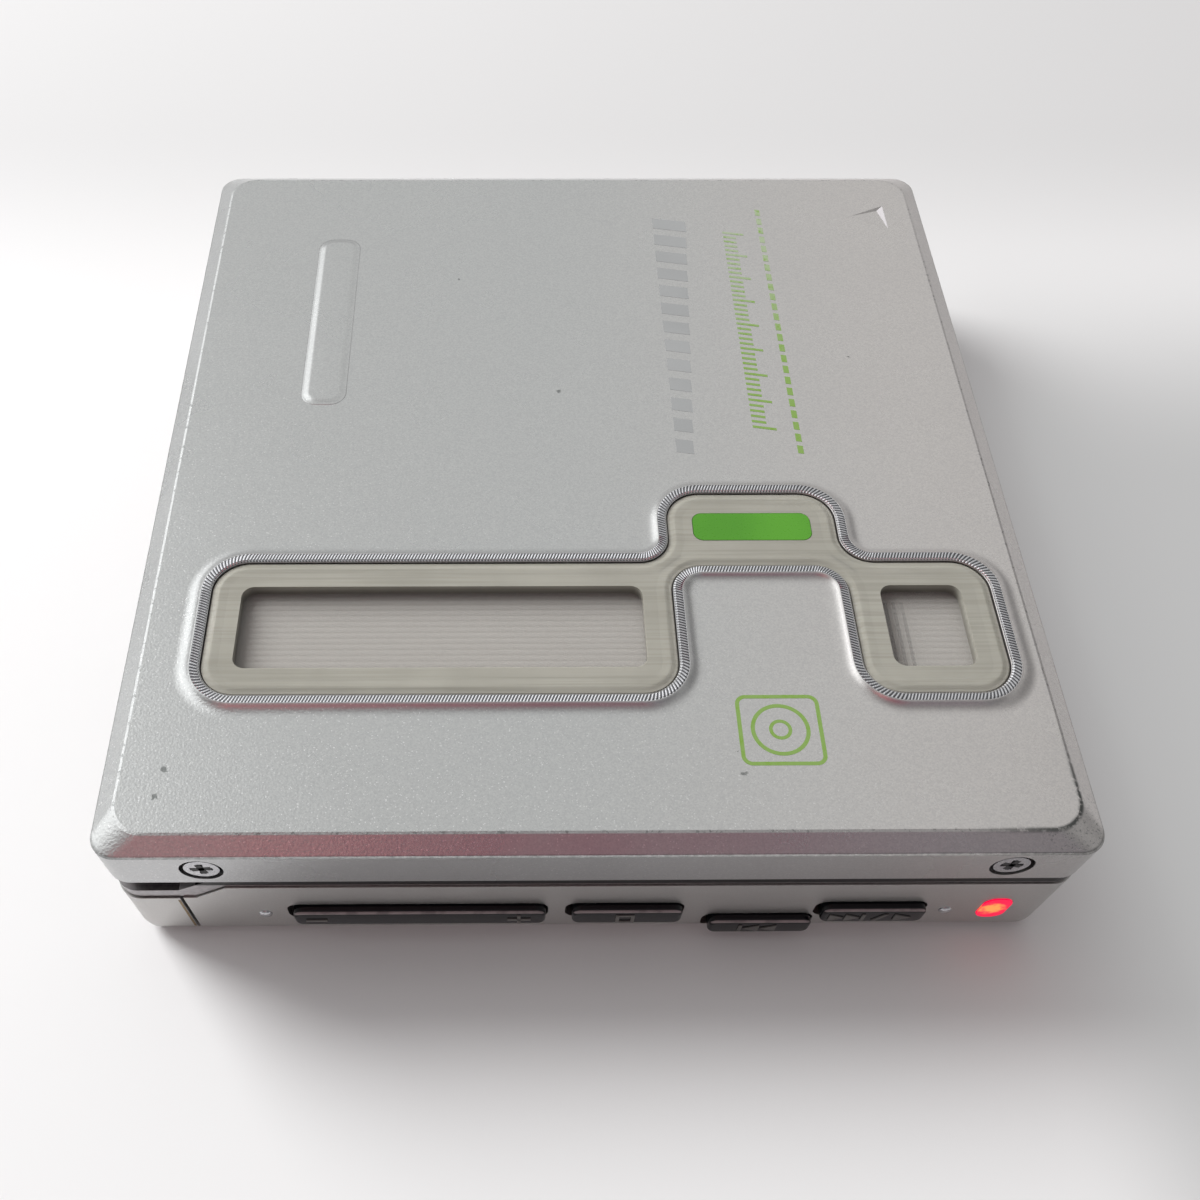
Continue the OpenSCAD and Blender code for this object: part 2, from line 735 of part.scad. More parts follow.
module base_shell() color([0.72, 0.72, 0.71]) {
  difference() {
    union() {
      outer_tub(base_wall, base_h);
      for (p = posts) {
        z_rod(p[0], p[1], post_r + 0.6, floor_t - 0.1, board_z);
        z_rod(p[0], p[1], post_r, floor_t - 0.1, deck_z);
      }
      box([bay_x + 2, bay_back + 0.2, floor_t - 0.1],
        [bay_x + battery_l - 2, bay_back + 0.9, bay_z + battery_t - 1]);
      for (z = [button_z - button_h / 2 - 1.3, button_z + button_h / 2 + 0.3])
        box([rocker_x - 1.4, in_front - 0.1, z], [rocker_x + 1.4, in_front + 1.3, z + 1]);
      for (x = [bay_x + 5, bay_x + battery_l - 6])
        box([x, bay_y, floor_t - 0.1], [x + 1, bay_back, bay_z]);
    }
    through_y([[left - 1, dip_z], [left + hinge_end, dip_z], [left + hinge_end + 2.8, base_h],
      [left + hinge_end + 2.8, base_h + 1], [left - 1, base_h + 1]]);
    translate([0, 0, -1])
      linear_extrude(base_h + 2)
        door_plan(door_seam);
    translate([0, 0, -1])
      linear_extrude(base_h + 2)
        polygon([[left - 1, pivot_y - 1], [pivot_x, pivot_y - 1], [pivot_x, pivot_y + door_r + door_gap],
          [left, pivot_y + door_swing], [left - 1, pivot_y + door_swing]]);
    button_hole(rocker_x, button_z, rocker_l, button_h);
    button_hole(stop_x, button_z, stop_l, button_h);
    button_hole(prev_x, button_z - button_step, prev_l, button_h - 0.1);
    button_hole(play_x, button_z, play_l, button_h);
    y_slab([led_x - led_w / 2, front - 1, button_z - led_h / 2],
      [led_x + led_w / 2, in_front + 1, button_z + led_h / 2], led_r);
    for (x = [pin_left, pin_right])
      y_rod(x, pin_z, front_pin_r + press_fit, front - 1, in_front + 1);
    z_rod(rocker_x, in_front + 0.6, 0.4 + press_fit, button_z - 3, button_z + 3);
    for (x = [jack_x, inlet_x])
      y_rod(x, jack_z, jack_body_r + press_fit, in_back - 1, back + 1);
    y_slab([hold_x - 1.6, in_back - 1, hold_z - 0.9],
      [hold_x + 1.6 + hold_travel, back + 1, hold_z + 0.9], 0.5);
    box([in_right - 1, -4.2, slide_z - 1.2], [right + 1, 4.2 + slide_travel, slide_z + 1.2]);
    for (p = posts) {
      z_rod(p[0], p[1], 1.3 + pass_gap, -1, 0.7);
      z_rod(p[0], p[1], screw_hole_r + press_fit, -1, deck_z + 1);
    }
    plate_recess(0, -1);
  }
  door_lug(0, lug_z0);
  door_lug(lug_z1, dip_z);
  box([left + base_wall / 2, pivot_y + door_swing + 0.2, lug_z1],
    [pivot_x + door_r, pivot_y + door_swing + 1.4, dip_z]);
}

module mid_frame() color([0.7, 0.7, 0.7]) {
  ring_in = 1.5;
  band = [[left - 1, dip_z], [left + hinge_end, dip_z], [left + hinge_end + 2.8, base_h],
    [right + 1, base_h], [right + 1, strip_z], [left + hinge_end + 1.4, strip_z],
    [left + hinge_end - 1.2, strip_z - hinge_drop + 0.3], [left - 1, strip_z - hinge_drop + 0.3]];
  upper = [[left - 1, dip_z + strip_line], [left + hinge_end, dip_z + strip_line],
    [left + hinge_end + 2.8, base_h + strip_line], [right + 1, base_h + strip_line],
    [right + 1, strip_z + 1], [left - 1, strip_z + 1]];
  difference() {
    union() {
      intersection() {
        difference() {
          body_prism(strip_inset, dip_z - 1, strip_z + 1);
          body_prism(ring_in, dip_z - 2, strip_z + 2);
        }
        through_y(band);
        through_y(upper);
      }
      intersection() {
        difference() {
          body_prism(strip_inset + 0.45, dip_z - 1, strip_z + 1);
          body_prism(ring_in, dip_z - 2, strip_z + 2);
        }
        through_y(band);
      }
      box([right - 1.3, -slot_half + 0.2, base_h + 0.3],
        [right - strip_inset, slot_half - 0.2, slot_z - 0.2]);
      for (m = [0, 1])
        mirror([0, m, 0])
          for (y = [[pin_y0, ear_y0 - pass_gap], [ear_y1 + pass_gap, pin_y1]]) {
            y_rod(hinge_x, hinge_z, knuckle_r, y[0], y[1]);
            box([hinge_x - 0.95, y[0], dip_z + 0.3], [hinge_x + 0.9, y[1], hinge_z - 0.1]);
          }
    }
    y_rod(hinge_x, hinge_z, hinge_pin_r + press_fit, front - 1, back + 1);
  }
}

module chassis_plate() color([0.6, 0.61, 0.63])
  difference() {
    slab([bay_x, front + 5, deck_z], [in_right - 1.5, in_back - 0.4, deck_z1], 2);
    z_rod(cart_mid, 0, 3.2, deck_z - 1, deck_z1 + 1);
    slab([screw_at - 2.8, bracket_y + bracket_t + 0.4, deck_z - 1],
      [cart_mid + rod_x + 2.7, window_end, deck_z1 + 1], 0.8);
    for (p = posts)
      z_rod(p[0], p[1], screw_hole_r + 0.05, deck_z - 1, deck_z1 + 1);
    for (x = locate_x)
      z_rod(x, locate_y, 0.8 + press_fit, deck_z - 1, deck_z1 + 1);
    for (x = [-22, -8, 14])
      slab([cart_mid + x - 4, front + 14, deck_z - 1], [cart_mid + x + 4, front + 18, deck_z1 + 1], 1.5);
    box([jack_x - 3.2, back - jack_l - 1.2, deck_z - 1], [right, back, deck_z1 + 1]);
  }

module chassis_screws() color("gainsboro")
  for (p = posts)
    translate([p[0], p[1], deck_z1 + 0.5])
      rotate([180, 0, 0])
        cross_screw(1.3, 0.5, screw_hole_r, 3.3);

module base_screws() color("gainsboro")
  for (p = posts)
    translate([p[0], p[1], 0.05])
      cross_screw(1.3, 0.65, screw_hole_r, 3.6);

module locating_pins() color("silver")
  for (x = locate_x) {
    z_rod(x, locate_y, 0.8, deck_z, deck_z1 + 0.1);
    z_rod(x, locate_y, 1.4, deck_z1, cart_z + 0.8);
  }

module main_board() color("darkgreen")
  difference() {
    slab([left + 8, bay_back + 1.2, board_z], [in_right - 2, in_back - 1, board_top], 1);
    for (p = posts)
      z_rod(p[0], p[1], post_r + pass_gap, board_z - 1, board_top + 1);
  }

module board_chips() color([0.1, 0.1, 0.11]) {
  box([cart_mid - 28, -9, board_top], [cart_mid - 18, 1, board_top + 0.9]);
  box([cart_mid + 14, -14, board_top], [cart_mid + 26, -4, board_top + 0.9]);
  box([cart_mid - 4, 14, board_top], [cart_mid + 5, 23, board_top + 0.7]);
  box([cart_mid - 30, 8, board_top], [cart_mid - 24, 18, board_top + 0.9]);
  box([cart_mid + 20, 4, board_top], [cart_mid + 27, 9, board_top + 1.4]);
  for (i = [0:5])
    box([cart_mid - 12 + 4 * i, -15, board_top], [cart_mid - 10.4 + 4 * i, -14.2, board_top + 0.6]);
}

module battery() color([0.55, 0.6, 0.62]) {
  slab([bay_x, bay_y + 0.05, bay_z], [bay_x + battery_l - 0.5, bay_back - 0.05, bay_z + battery_t], 1);
  box([bay_x + battery_l - 0.6, bay_y + battery_w / 2 - 2, bay_z + 1.5],
    [bay_x + battery_l, bay_y + battery_w / 2 + 2, bay_z + battery_t - 1.5]);
}

module battery_contact() color("gold") {
  x = bay_x + battery_l + 0.02;
  y = bay_y + battery_w / 2;
  box([x, y - 2.5, floor_t], [x + 0.3, y + 2.5, bay_z + battery_t - 1]);
  box([x, y - 2.5, floor_t], [x + 1.6, y + 2.5, floor_t + 0.3]);
}

module headphone_jack() color([0.14, 0.14, 0.15])
  difference() {
    union() {
      y_rod(jack_x, jack_z, jack_body_r, back - jack_l - 0.8, back);
      box([jack_x - 2.4, back - jack_l - 0.8, board_top], [jack_x + 2.4, in_back - 0.2, jack_z]);
    }
    y_rod(jack_x, jack_z, jack_r, back - jack_l, back + 1);
  }

module power_inlet() color([0.14, 0.14, 0.15]) {
  difference() {
    union() {
      y_rod(inlet_x, jack_z, jack_body_r, back - 9, back);
      box([inlet_x - 2.4, back - 9, board_top], [inlet_x + 2.4, in_back - 0.2, jack_z]);
    }
    y_rod(inlet_x, jack_z, jack_r + 0.1, back - 8, back + 1);
  }
  y_rod(inlet_x, jack_z, 0.5, back - 8.2, back - 1);
}

module button_board() color("darkgreen")
  difference() {
    box([rocker_x0 - 1, flex_y, floor_t + 0.1], [in_right - 1.2, flex_y + flex_t, bay_z + battery_t]);
    y_rod(led_x - 4.2, button_z, 0.8, flex_y - 1, flex_y + 1);
  }

module tact(x, z) {
  box([x - 1.7, flex_y - 0.9, z - 1.1], [x + 1.7, flex_y, z + 1.1]);
  y_rod(x, z, 0.6, flex_y - tact_out, flex_y - 0.8);
}

module tact_switches() color([0.85, 0.85, 0.82]) {
  tact(rocker_x - 8, button_z);
  tact(rocker_x + 8, button_z);
  tact(stop_x, button_z);
  tact(prev_x, button_z - button_step + 0.1);
  tact(play_x, button_z);
  box([led_x - 0.8, flex_y - 1, button_z - 0.8], [led_x + 0.8, flex_y, button_z + 0.8]);
}

module led_lens() color("red") {
  w = led_w / 2 - run_fit;
  h = led_h / 2 - run_fit;
  y_slab([led_x - w, front - 0.1, button_z - h], [led_x + w, in_front + 0.5, button_z + h], led_r - run_fit);
  y_slab([led_x - w - 0.4, in_front + eps, button_z - h - 0.4],
    [led_x + w + 0.4, in_front + 0.5, button_z + h + 0.4], led_r);
}

module front_pins() color("gainsboro")
  for (x = [pin_left, pin_right])
    y_rod(x, pin_z, front_pin_r, front - 0.06, in_front + 0.4);

module rocker_pin() color("silver")
  z_rod(rocker_x, in_front + 0.6, 0.4, button_z - button_h / 2 - 1.2, button_z + button_h / 2 + 1.2);

module spindle_motor() color([0.5, 0.5, 0.52])
  difference() {
    union() {
      z_rod(cart_mid, 0, motor_r, board_top + 1.6, deck_z);
      z_rod(cart_mid, 0, 2.6, deck_z - 0.1, deck_z1 + 0.3);
    }
    z_rod(cart_mid, 0, spindle_r + run_fit, board_top + 2.2, deck_z1 + 1);
  }

module spindle_shaft() color("silver")
  z_rod(cart_mid, 0, spindle_r, board_top + 2.3, disc_z + 0.5);

module turntable() color([0.82, 0.82, 0.84])
  difference() {
    union() {
      z_rod(cart_mid, 0, table_r + 1, deck_z1 + 0.5, deck_z1 + 1.2);
      z_rod(cart_mid, 0, table_r, deck_z1 + 1.1, disc_z - 0.08);
      z_rod(cart_mid, 0, disc_hole / 2 - 0.3, disc_z - 0.1, disc_z + 0.7);
      translate([cart_mid, 0, disc_z + 0.7])
        cylinder(r1 = disc_hole / 2 - 0.3, r2 = disc_hole / 2 - 0.7, h = 0.3);
    }
    z_rod(cart_mid, 0, spindle_r + press_fit, deck_z1, disc_z + 2);
    for (a = [0:120:240])
      rotate_about(a)
        z_rod(cart_mid + 3.4, 0, 0.7, disc_z + 0.4, disc_z + 2);
  }

module rotate_about(a)
  translate([cart_mid, 0, 0])
    rotate([0, 0, a])
      translate([-cart_mid, 0, 0])
        children();

module guide_rod() color("silver")
  y_rod(cart_mid + rod_x, drive_z, rod_r, bracket_y + 0.2, rear_y + 0.9);

module rod_brackets() color([0.9, 0.9, 0.88])
  difference() {
    union() {
      box([idler_at - 1.9, bracket_y, drive_z - 1.5], [screw_at + 1.9, bracket_y + bracket_t, deck_z]);
      box([cart_mid + rod_x - 1.9, bracket_y, drive_z - 1.5],
        [cart_mid + rod_x + 1.9, bracket_y + bracket_t, deck_z]);
      for (x = [screw_at, cart_mid + rod_x])
        box([x - 1.9, rear_y, drive_z - 1.5], [x + 1.9, rear_y + 1.2, deck_z]);
    }
    y_rod(screw_at, drive_z, rod_r + run_fit, bracket_y - 1, rear_y + 0.9);
    y_rod(cart_mid + rod_x, drive_z, rod_r + press_fit, bracket_y + 0.2, rear_y + 0.9);
    y_rod(idler_at, drive_z, pin_r + press_fit, bracket_y - 1, bracket_y + bracket_t + 1);
  }

module idler_pin() color("silver") {
  y_rod(idler_at, drive_z, pin_r, gear_y - 0.3, bracket_y + bracket_t - 0.2);
  y_rod(idler_at, drive_z, pin_r + 0.3, gear_y - 0.6, gear_y - 0.1);
}

module sled_motor() color([0.55, 0.55, 0.57])
  difference() {
    union() {
      y_rod(pinion_at, drive_z, 2.35, bracket_y + 2, bracket_y + 14);
      y_rod(pinion_at, drive_z, 1.1, bracket_y + 1.2, bracket_y + 2.1);
      box([pinion_at - 1.4, bracket_y + 4, drive_z + 1.5], [pinion_at + 1.4, bracket_y + 12, deck_z]);
    }
    y_rod(pinion_at, drive_z, pin_r + run_fit, bracket_y, bracket_y + 8);
  }

// Tooth flank half angle at radius r of a gear with base radius rb.
function involute(a) = tan(a) * 180 / PI - a;
function flank(n, r) =
  let (rp = gear_m * n / 2, rb = rp * cos(25), a = r <= rb ? 0 : acos(rb / r))
  90 / n - 0.022 / rp * 180 / PI + involute(25) - involute(a);
function polar(r, a) = r * [cos(a), sin(a)];
function gear_points(n) =
  let (rp = gear_m * n / 2, rf = rp - 1.1 * gear_m, ra = rp + 0.85 * gear_m, rb = max(rf, rp * cos(25)))
  [for (i = [0:n - 1]) let (c = 360 / n * i)
    each concat([polar(rf, c - flank(n, rf))],
      [for (j = [0:4]) let (r = rb + (ra - rb) * j / 4) polar(r, c - flank(n, r))],
      [for (j = [4:-1:0]) let (r = rb + (ra - rb) * j / 4) polar(r, c + flank(n, r))],
      [polar(rf, c + flank(n, rf))])];

module gear(x, n, turn, bore) {
  translate([x, gear_y, drive_z])
    rotate([-90, 0, 0])
      rotate([0, 0, turn])
        difference() {
          linear_extrude(gear_w)
            polygon(gear_points(n));
          translate([0, 0, -1])
            cylinder(r = bore, h = gear_w + 2);
        }
}

module lead_screw() color("silver")
  y_rod(screw_at, drive_z, rod_r, gear_y - 0.2, rear_y + 0.85);

module lead_screw_gear() color("white")
  gear(screw_at, screw_teeth, 0, rod_r + press_fit);

module idler_gear() color("ivory")
  gear(idler_at, idler_teeth, 180 / idler_teeth, pin_r + run_fit);

module motor_pinion() color("goldenrod") {
  gear(pinion_at, pinion_teeth, 0, pin_r - 0.1);
  y_rod(pinion_at, drive_z, pin_r, gear_y - 0.3, bracket_y + 7.5);
}

module pickup_block() color([0.18, 0.18, 0.2]) {
  y0 = lens_y - block_front;
  y1 = lens_y + block_back;
  difference() {
    union() {
      slab([cart_mid - 9.5, y0, drive_z - 1.1], [cart_mid + 9.5, y1, deck_z1], 1);
      box([screw_at, y0 + 1, drive_z - 1], [cart_mid - 9, y1 - 1, drive_z + 1]);
      box([cart_mid + 9, y0 + 1, drive_z - 1], [cart_mid + rod_x, y1 - 1, drive_z + 1]);
      y_rod(screw_at, drive_z, rod_r + 0.8, y0 + 1, y1 - 1);
      y_rod(cart_mid + rod_x, drive_z, rod_r + 0.8, y0 + 0.4, y1 - 0.4);
    }
    y_rod(screw_at, drive_z, rod_r + run_fit, y0 - 1, y1 + 1);
    y_rod(cart_mid + rod_x, drive_z, rod_r + run_fit, y0 - 1, y1 + 1);
    slab([cart_mid - 5.5, lens_y - 3.8, deck_z1 - 0.6], [cart_mid + 5.5, lens_y + 5.4, deck_z1 + 1], 0.6);
  }
}

module lens_holder() color([0.1, 0.1, 0.1])
  difference() {
    slab([cart_mid - 4.5, lens_y - 3.4, deck_z1 + 0.1], [cart_mid + 4.5, lens_y + 5, deck_z1 + 1.4], 1);
    z_rod(cart_mid, lens_y, 2 + press_fit, deck_z1 + 0.6, deck_z1 + 2);
  }

module objective_lens() color([0.5, 0.6, 0.9, 0.6])
  intersection() {
    z_rod(cart_mid, lens_y, 2, deck_z1 + 0.6, deck_z1 + 3);
    translate([cart_mid, lens_y, deck_z1 - 1.9])
      sphere(r = 4);
  }

// Button cap with softened front edges, a stem through the wall and a flange behind it.
module button_cap(x, z, l, h) {
  y = front - button_out;
  hull() {
    y_slab([x - l / 2 + 0.45, y, z - h / 2 + 0.4], [x + l / 2 - 0.45, y + 0.2, z + h / 2 - 0.5], 0.55);
    y_slab([x - l / 2 + 0.1, y + 0.25, z - h / 2 + 0.1], [x + l / 2 - 0.1, y + 0.4, z + h / 2 - 0.12], 0.8);
    y_slab([x - l / 2, y + 0.55, z - h / 2], [x + l / 2, front + 0.5, z + h / 2], 0.9);
  }
  y_slab([x - l / 2, front + 0.3, z - h / 2], [x + l / 2, in_front + 0.15, z + h / 2], 0.9);
}

// Raised mark on a button face, its plane outline facing out.
module button_mark(x, z) {
  translate([x, front - button_out + 0.1, z])
    rotate([90, 0, 0])
      linear_extrude(mark_t + 0.1)
        children();
}

module mark_bar(w, h) {
  square([w, h], center = true);
}

// Triangle that points along +X when dir is 1.
module mark_arrow(x, dir) {
  polygon([[x, -mark_h / 2], [x + dir * mark_w, 0], [x, mark_h / 2]]);
}

module button_flange(x0, x1, z0, z1) {
  box([x0, in_front + 0.05, z0], [x1, in_front + flange_back, z1]);
}

module volume_rocker() color([0.16, 0.16, 0.17])
  difference() {
    union() {
      button_cap(rocker_x, button_z, rocker_l, button_h);
      button_mark(rocker_x0 + 2.4, button_z - 0.1)
        mark_bar(1.6, 0.34);
      button_mark(rocker_x1 - 2.3, button_z - 0.1) {
        mark_bar(1.6, 0.34);
        mark_bar(0.34, mark_h);
      }
      button_mark(rocker_x, button_z - 0.1)
        polygon([[-4, -0.5], [4, -0.5], [4, 0.55]]);
      z_rod(rocker_x, in_front + 0.6, 0.9, button_z - button_h / 2 + 0.02, button_z + button_h / 2 - 0.02);
    }
    z_rod(rocker_x, in_front + 0.6, 0.4 + run_fit, button_z - 3, button_z + 3);
  }

module stop_button() color([0.16, 0.16, 0.17]) {
  button_cap(stop_x, button_z, stop_l, button_h);
  button_mark(stop_x, button_z - 0.1)
    mark_bar(1.4, mark_h);
  button_flange(stop_x - stop_l / 2 - 0.6, stop_x + stop_l / 2 + 0.6, button_z - 1.75, button_z + 1.9);
}

module previous_button() color([0.16, 0.16, 0.17]) {
  z = button_z - button_step;
  button_cap(prev_x, z, prev_l, button_h - 0.1);
  button_mark(prev_x, z - 0.1) {
    mark_arrow(0.05, -1);
    mark_arrow(1.6, -1);
    translate([-1.55, 0])
      mark_bar(0.3, mark_h);
  }
  button_flange(prev_x - prev_l / 2 - 0.6, prev_x + prev_l / 2 - 0.9, z - 1.2, z + 1.9);
}

module play_button() color([0.16, 0.16, 0.17]) {
  button_cap(play_x, button_z, play_l, button_h);
  button_mark(play_x, button_z - 0.1) {
    mark_arrow(-4.5, 1);
    mark_arrow(-2.95, 1);
    translate([-1.2, 0])
      mark_bar(0.3, mark_h);
    polygon([[-0.3, -mark_h / 2], [0, -mark_h / 2], [0.9, mark_h / 2], [0.6, mark_h / 2]]);
    mark_arrow(1.5, 1);
  }
  button_flange(play_x - play_l / 2 + 0.8, play_x + play_l / 2 + 0.6, button_z - 1.75, button_z + 1.9);
}

module hold_switch() color([0.2, 0.2, 0.21]) {
  y_slab([hold_x - 1.4, in_back - 0.6, hold_z - 0.75], [hold_x + 1.4, back + 0.2, hold_z + 0.75], 0.4);
  y_slab([hold_x - 2.6, back + 0.03, hold_z - 1.3], [hold_x + 2.6, back + 0.45, hold_z + 1.3], 0.6);
  box([hold_x - 2.4, in_back - 0.6, hold_z - 1.4], [hold_x + 2.4, in_back - 0.05, hold_z + 1.4]);
}

module open_slider() color([0.7, 0.7, 0.7]) {
  box([in_right + 0.1, -4, slide_z - 1.05], [right + 0.2, 4, slide_z + 1.05]);
  difference() {
    box([right + 0.03, -5, slide_z - 1.6], [right + 0.5, 5, slide_z + 1.6]);
    for (y = [-3:1:3])
      box([right + 0.3, y - 0.2, slide_z - 2], [right + 1, y + 0.2, slide_z + 2]);
  }
}

module latch_bar() color("lightsteelblue") {
  nib_y = -ear_y0 + pass_gap;
  box([in_right - 1, nib_y, slide_z - 0.9], [in_right - 0.2, 9, slide_z + 0.9]);
  box([in_right - 0.3, -3.6, slide_z - 0.9], [in_right + 0.1, 3.6, slide_z + 0.9]);
  box([in_right - 0.9, nib_y, slide_z], [in_right - 0.2, nib_y + 2.4, cart_z - 0.3]);
}

module battery_door() color([0.72, 0.72, 0.71])
  difference() {
    intersection() {
      outer_tub(0, dip_z - door_gap);
      translate([0, 0, -1])
        linear_extrude(base_h + 2)
          door_plan(0);
    }
    slab([in_left, in_front, floor_t], [door_x1 + 3, pivot_y - 2.2, dip_z - 1.1], 0.8);
    z_rod(pivot_x, pivot_y, door_pivot_x + 0.2, -1, lug_z0 + 0.1);
    z_rod(pivot_x, pivot_y, door_pivot_x + 0.2, lug_z1 - 0.1, base_h + 2);
    z_rod(pivot_x, pivot_y, door_pin_r + run_fit, -1, base_h);
  }

module door_pin() color("silver")
  z_rod(pivot_x, pivot_y, door_pin_r, 0.2, dip_z - 0.1);

module door_contact() color("gold")
  translate([0, 0, bay_z + 1.6])
    linear_extrude(2.8)
      polygon([[in_left, bay_y + 3], [in_left + 0.3, bay_y + 3], [in_left + 0.3, bay_y + 5],
        [door_x1 - 0.2, bay_y + 8], [in_left + 0.3, bay_y + 11], [in_left + 0.3, bay_y + 13],
        [in_left, bay_y + 13], [in_left, bay_y + 10.8], [door_x1 - 0.8, bay_y + 8], [in_left, bay_y + 5.2]]);

module hinge_pins() color("silver")
  for (m = [0, 1])
    mirror([0, m, 0])
      y_rod(hinge_x, hinge_z, hinge_pin_r, pin_y0, pin_y1);

module rating_plate() color([0.85, 0.85, 0.85])
  plate_recess(inlay_gap, eps);

lid_shell();
window_bezel();
window_pane_long();
window_pane_short();
green_inlay();
lid_inner_frame();
disc_holder();
lid_screws();
lid_catch();
cartridge_upper_shell();
cartridge_lower_shell();
cartridge_shutter();
cartridge_label();
disc();
disc_hub_plate();
base_shell();
mid_frame();
chassis_plate();
chassis_screws();
base_screws();
locating_pins();
main_board();
board_chips();
battery();
battery_contact();
headphone_jack();
power_inlet();
button_board();
tact_switches();
led_lens();
front_pins();
rocker_pin();
spindle_motor();
guide_rod();
rod_brackets();
idler_pin();
sled_motor();
hinge_pins();
door_pin();
rating_plate();
turntable();
spindle_shaft();
pickup_block();
lens_holder();
objective_lens();
lead_screw();
lead_screw_gear();
idler_gear();
motor_pinion();
volume_rocker();
stop_button();
previous_button();
play_button();
hold_switch();
open_slider();
latch_bar();
battery_door();
door_contact();
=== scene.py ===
import json

import bmesh
import bpy
import numpy as np
from mathutils import Matrix, Vector


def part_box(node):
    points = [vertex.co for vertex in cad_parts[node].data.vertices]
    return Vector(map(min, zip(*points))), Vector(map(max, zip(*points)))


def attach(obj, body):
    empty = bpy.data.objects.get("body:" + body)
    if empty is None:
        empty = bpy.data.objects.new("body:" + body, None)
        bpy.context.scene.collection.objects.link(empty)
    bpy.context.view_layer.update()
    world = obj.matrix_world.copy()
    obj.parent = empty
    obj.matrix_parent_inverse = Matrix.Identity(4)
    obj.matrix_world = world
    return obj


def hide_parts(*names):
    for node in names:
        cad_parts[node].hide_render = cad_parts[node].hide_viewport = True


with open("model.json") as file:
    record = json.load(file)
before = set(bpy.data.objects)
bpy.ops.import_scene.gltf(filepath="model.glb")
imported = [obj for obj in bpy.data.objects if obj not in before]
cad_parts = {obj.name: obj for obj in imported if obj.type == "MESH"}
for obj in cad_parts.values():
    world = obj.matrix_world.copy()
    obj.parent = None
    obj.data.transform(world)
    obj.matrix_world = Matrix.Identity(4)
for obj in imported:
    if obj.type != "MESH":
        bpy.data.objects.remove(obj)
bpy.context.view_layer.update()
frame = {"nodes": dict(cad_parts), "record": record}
nodes = frame["nodes"]
scene = bpy.context.scene
mm = 0.001
print("frame loaded:", len(nodes), "nodes")

lidLow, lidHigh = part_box("lid_shell")
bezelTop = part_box("window_bezel")[1].z
lipHeight = 0.45 * mm            # raised lip round the window, above the flat lid
lidTop = lidHigh.z - lipHeight


# Shader building blocks

def startFinish(name, **sockets):
    finish = bpy.data.materials.new(name)
    finish.use_nodes = True
    tree = finish.node_tree
    skin = tree.nodes["Principled BSDF"]
    for key, value in sockets.items():
        skin.inputs[key.replace("_", " ")].default_value = value
    place = tree.nodes.new("ShaderNodeTexCoord").outputs["Object"]
    return finish, tree, skin, place


def put(tree, value, socket):
    if isinstance(value, bpy.types.NodeSocket):
        tree.links.new(value, socket)
    else:
        socket.default_value = value


def add(tree, kind, wires, **settings):
    made = tree.nodes.new("ShaderNode" + kind)
    for key, value in settings.items():
        setattr(made, key, value)
    for key, value in wires.items():
        put(tree, value, made.inputs[key])
    return made


def noise(tree, place, size, detail=2.0, rough=0.5):      # size is the grain in metres
    return add(tree, "TexNoise", {"Vector": place, "Scale": 1 / size, "Detail": detail,
                                  "Roughness": rough}).outputs[0]


def cells(tree, place, size):                             # flat random value per cell
    spot = add(tree, "TexVoronoi", {"Vector": place, "Scale": 1 / size})
    return add(tree, "SeparateColor", {0: spot.outputs["Color"]}).outputs[0]


def stretched(tree, place, stretch):
    return add(tree, "Mapping", {"Vector": place, "Scale": stretch}).outputs[0]


def span(tree, value, low, high, toLow=0.0, toHigh=1.0):
    return add(tree, "MapRange", {"Value": value, "From Min": low, "From Max": high, "To Min": toLow,
                                  "To Max": toHigh}, interpolation_type="SMOOTHSTEP").outputs[0]


def maths(tree, how, a, b=0.0):
    return add(tree, "Math", {0: a, 1: b}, operation=how).outputs[0]


def axes(tree, place):
    return add(tree, "SeparateXYZ", {0: place}).outputs


def mixColour(tree, fac, under, over, how="MIX"):
    return add(tree, "Mix", {0: fac, 6: under, 7: over}, data_type="RGBA", blend_type=how).outputs[2]


def rgb(r, g, b):                                         # screen values 0 to 255, to linear
    c = np.array([r, g, b]) / 255
    lin = np.where(c <= 0.04045, c / 12.92, ((c + 0.055) / 1.055) ** 2.4)
    return (*lin.tolist(), 1.0)


def grey(value):
    return (value, value, value, 1.0)


def grain(tree, skin, height, strength, depth):          # bump on the finish, depth in metres
    wires = {"Height": height, "Strength": strength, "Distance": depth}
    put(tree, add(tree, "Bump", wires).outputs[0], skin.inputs["Normal"])


def distance(tree, place, spot):
    return add(tree, "VectorMath", {0: place, 1: spot}, operation="DISTANCE").outputs["Value"]


def product(tree, value, *others):
    for other in others:
        value = maths(tree, "MULTIPLY", value, other)
    return value


def highest(tree, value, *others):
    for other in others:
        value = maths(tree, "MAXIMUM", value, other)
    return value


noiseSpan = (0.3, 0.7)           # most values of a noise lie between these


# Finishes

lidEdge = {"bevel": 1.7 * mm, "fall": 0.95 * mm, "radius": 2.8 * mm}
lidRimZ = lidTop - lidEdge["fall"]

